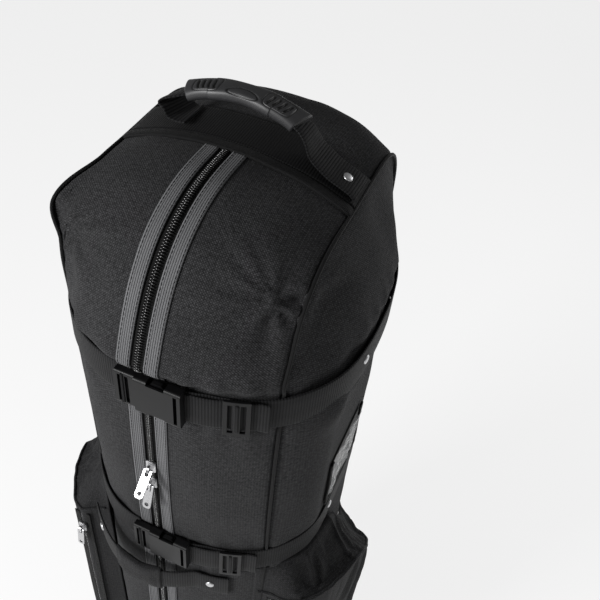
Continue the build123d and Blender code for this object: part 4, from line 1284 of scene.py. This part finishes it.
def make_pockets():
    """Two bellows pockets with sloping gussets, welted edges and a zip up the front edge."""
    for side, name in SIDES:
        u, v = np.meshgrid(np.linspace(0, 1, 96), np.linspace(0, 1, 120))
        grid = pocket_surface(side, u, v)
        down = (pocket_top(grid[..., 1]) - POCKET_Z0) * (1 - v)
        up_from_foot = grid[..., 2] - POCKET_Z0
        seams = [(down, POCKET_GUSSET), (up_from_foot, POCKET_FOOT), (down, 0.0), (up_from_foot, 0.0)]
        sewn = sum(bump(far, seam, 5.0) for far, seam in seams)
        sewn = sewn + 1 - smooth((u - 0.14) / 0.05) + smooth((u - 0.95) / 0.03)
        grid = settle(grid, np.clip(sewn, 0, 1))
        cloth = np.stack([u * 330, v * 420, 0 * u], axis=-1)
        pocket = sheet_object(f"bellows_pocket_{name}", grid, cloth, CLOTH, "pocket", "body_fabric",
                              f"pocket_{name}")
        t = np.linspace(0.02, 0.985, 150)
        tall = pocket_top(pocket_surface(side, t, np.full(150, 0.5), 0)[:, 1]) - POCKET_Z0
        lines = [pocket_surface(side, t, 1 - (POCKET_GUSSET - 2.0) / tall),
                 pocket_surface(side, t, POCKET_FOOT / tall),
                 pocket_surface(side, np.full(120, 0.93), np.linspace(0.1, 0.9, 120))]
        welts = [tube(line + unit(line * [1, 1, 0]) * 0.9, 1.9) for line in lines]
        parts_object(f"pocket_welts_{name}", welts, "pocket", "body_fabric", cloth=True)
        make_pocket_zip(side, name)


def make_pocket_zip(side, name):
    """The zip up a pocket's front edge: two tapes and a coil."""
    z0, z1 = low("pocket_zips")[2], high("pocket_zips")[2]
    x_mid = (low("pocket_slider_right")[0] + high("pocket_slider_right")[0]) / 2
    y_face = low("pocket_zips")[1]
    for edge, x0, x1 in (("outer", x_mid + 3.2, x_mid + 11.0), ("inner", x_mid - 11.0, x_mid - 3.2)):
        x, z = np.meshgrid(np.linspace(x0, x1, 5), np.linspace(z0, z1, 90))
        y = y_face - 0.4 + 0.004 * (x - x_mid) ** 2 + 0.3 * np.sin(z / 31.0)
        replaced = ["pocket_zips"] if edge == "outer" and side > 0 else []
        sheet_object(f"pocket_tape_{edge}_{name}", np.stack([side * x, y, z], axis=-1),
                     np.stack([x, z, 0 * x], -1), 1.2, "coil_tape", "zip_tape", *replaced)
    parts = []
    for i, z in enumerate(np.arange(z0 + 2, z1 - 2, 1.4)):
        way = [1.0 if i % 2 else -1.0, 0.0, 0.0]
        path = coil_path(np.array([side * x_mid, y_face + 0.6, z]), way, [0.0, -1.0, 0.0],
                         [-0.9, 0.0, 1.2, 2.4, 3.0], [0.4, 1.1, 1.3, 1.0, 0.1])
        parts.append(tube(path, 0.5, 5))
    parts_object(f"pocket_coil_{name}", parts, "coil", "zip_tape", turned=False)
    path = np.array([[side * x_mid, y_face + 1.6, z] for z in np.linspace(z0, z1, 60)])
    band = ribbon(path, (1.0, 0, 0), (0, -1.0, 0), 4.2, 1.4)
    band_object(f"pocket_coil_backing_{name}", [band], "case", "coil_tape")


# ---------------------------------------------------------------- card window
def make_card_window():
    """A bound frame sewn on the right side, with a wavy sheet of clear vinyl."""
    rim = 7.0
    face = SIDE_X + 0.2
    y0, y1, z0, z1 = *CARD_Y, *CARD_Z
    middle = rim / 2
    corners = [(y0 + middle, z1 - 0.5), (y0 + middle, z0 + middle), (y1 - middle, z0 + middle),
               (y1 - middle, z1 - 0.5)]
    bands = []
    for (ya, za), (yb, zb), reach in zip(corners[:-1], corners[1:], ((0, 1), (1, 1), (1, 0))):
        t = np.linspace(0, 1, 40)
        along = np.array([0, yb - ya, zb - za], float)
        length = np.linalg.norm(along)
        along /= length
        start = np.array([face + 1.6, ya, za]) - along * middle * reach[0]
        path = start + np.outer(t, along) * (length + middle * (reach[0] + reach[1]))
        path[:, 0] += 0.35 * np.sin(t * 9 + za / 20)
        across = np.cross([1.0, 0, 0], along)
        bands.append(ribbon(path, across, (1.0, 0, 0), middle, 2.6, start=200.0 * len(bands)))
    frame_obj = band_object("card_window_binding", bands, "case", "binding")
    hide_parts("card_frame")
    y, z = np.meshgrid(np.linspace(y0 + rim - 2, y1 - rim + 2, 58), np.linspace(z0 + rim - 2, z1 - 2, 46))
    inside = smooth((y - y0 - rim) / 8) * smooth((y1 - rim - y) / 8) * smooth((z - z0 - rim) / 8)
    spot = np.stack([0 * y, y, z], axis=-1)
    wave = 1.5 * ripple(spot * [1, 1, 0.5], 34, 23) + 0.9 * ripple(spot, 15, 29)
    grid = np.stack([face + 2.3 + inside * (1.2 + wave), y, z], axis=-1)
    vinyl = sheet_object("clear_vinyl", grid, spot, 0.4, "vinyl", "clear_window", "card_window")


# ---------------------------------------------------------------- CAD pieces that keep their shape
def soften(obj, width, segments=2):
    """Round a carried-over piece's sharp edges without changing its mesh."""
    edge = obj.modifiers.new("soft_edges", "BEVEL")
    edge.width = width * MM
    edge.segments = segments
    edge.limit_method = "ANGLE"
    edge.angle_limit = math.radians(35)
    edge.harden_normals = True


def finish_cad_pieces():
    """Materials and softened edges for the pieces that CAD made as they are."""
    groups = {
        "buckle": [f"buckle_{k}_{n}" for k in (1, 2, 3)
                   for n in ("female", "male", "latch_upper", "latch_lower")],
        "nickel": ["zip_slider_upper", "zip_slider_lower", "zip_pull_upper", "zip_pull_lower",
                   "pocket_slider_left", "pocket_slider_right", "pocket_pull_left", "pocket_pull_right"],
        "base": ["base_shell", "skid_rails"],
        "rubber": ["base_feet"],
        "hub": ["wheel_hub_left", "wheel_hub_right"],
        "tyre": ["wheel_tyre_left", "wheel_tyre_right"],
        "steel": ["wheel_axles"],
        "card": ["name_card"],
        "foam": ["base_board"],
    }
    for key, names in groups.items():
        for name in names:
            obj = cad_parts[name]
            obj.data.materials.clear()
            obj.data.materials.append(M[key])
            for face in obj.data.polygons:
                face.use_smooth = True
    for name in groups["buckle"] + groups["base"] + groups["hub"]:
        soften(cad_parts[name], 0.7)


# ---------------------------------------------------------------- camera, light and floor
FLOOR_REACH = 9.0
CAMERA_AT = (0.2574, -0.5372, 1.6358)
CAMERA_ANGLES = (18.3, 43.58, 6.70)      # azimuth, pitch down and roll, in degrees


def make_studio():
    """A pale floor, two soft lamps and a camera that looks down on the hood from the front right."""
    floor_mesh = bpy.data.meshes.new("floor")
    corners = ((-1, -1), (1, -1), (1, 1), (-1, 1))
    floor_mesh.from_pydata([(FLOOR_REACH * x, FLOOR_REACH * y, 0) for x, y in corners], [], [(0, 1, 2, 3)])
    floor = add_object("floor", floor_mesh)
    p = Paint("pale_floor")
    p.set(base_color=(0.22, 0.22, 0.221), roughness=0.9, specular_ior_level=0.0,
          emission_color=(1.0, 1.0, 1.0), emission_strength=0.80)
    floor.data.materials.append(p.material)

    world = bpy.data.worlds.new("studio")
    bpy.context.scene.world = world
    world.use_nodes = True
    world.node_tree.nodes["Background"].inputs[0].default_value = (1, 1, 1, 1)
    world.node_tree.nodes["Background"].inputs[1].default_value = 0.18
    for name, place, target, size, power in (
            ("key", (-1.1, -1.75, 1.95), (0, 0, 1.15), 0.7, 52),
            ("low_key", (-1.0, -1.9, 1.1), (0, 0, 0.6), 0.9, 9),
            ("rim", (1.3, 1.7, 1.7), (0, 0, 0.8), 0.9, 9)):
        light = bpy.data.lights.new(name, "AREA")
        light.size = size
        light.energy = power
        lamp = add_object(name, light)
        lamp.location = place
        aim = Vector(target) - Vector(place)
        lamp.rotation_euler = aim.to_track_quat("-Z", "Y").to_euler()

    azimuth, pitch, roll = (math.radians(angle) for angle in CAMERA_ANGLES)
    heading = Vector((-math.sin(azimuth), math.cos(azimuth), 0))
    ahead = heading * math.cos(pitch) + Vector((0, 0, -math.sin(pitch)))
    right = Vector((math.cos(azimuth), math.sin(azimuth), 0))
    up = right.cross(ahead)
    turned_right = right * math.cos(roll) + up * math.sin(roll)
    turned_up = up * math.cos(roll) - right * math.sin(roll)
    camera = bpy.data.cameras.new("camera")
    camera.lens = 45.2
    camera.sensor_width = 36.0
    camera.clip_end = 60.0
    eye = add_object("camera", camera)
    axes = Matrix((turned_right, turned_up, -ahead)).transposed()
    eye.matrix_world = Matrix.Translation(CAMERA_AT) @ axes.to_4x4()
    bpy.context.scene.camera = eye
    bpy.context.scene.view_settings.view_transform = "Standard"


make_studio()
make_panels()
make_zip()
make_band()
make_straps()
make_seams()
make_strap_rivets()
make_top_handle()
make_carry_handle()
make_pockets()
make_card_window()
finish_cad_pieces()
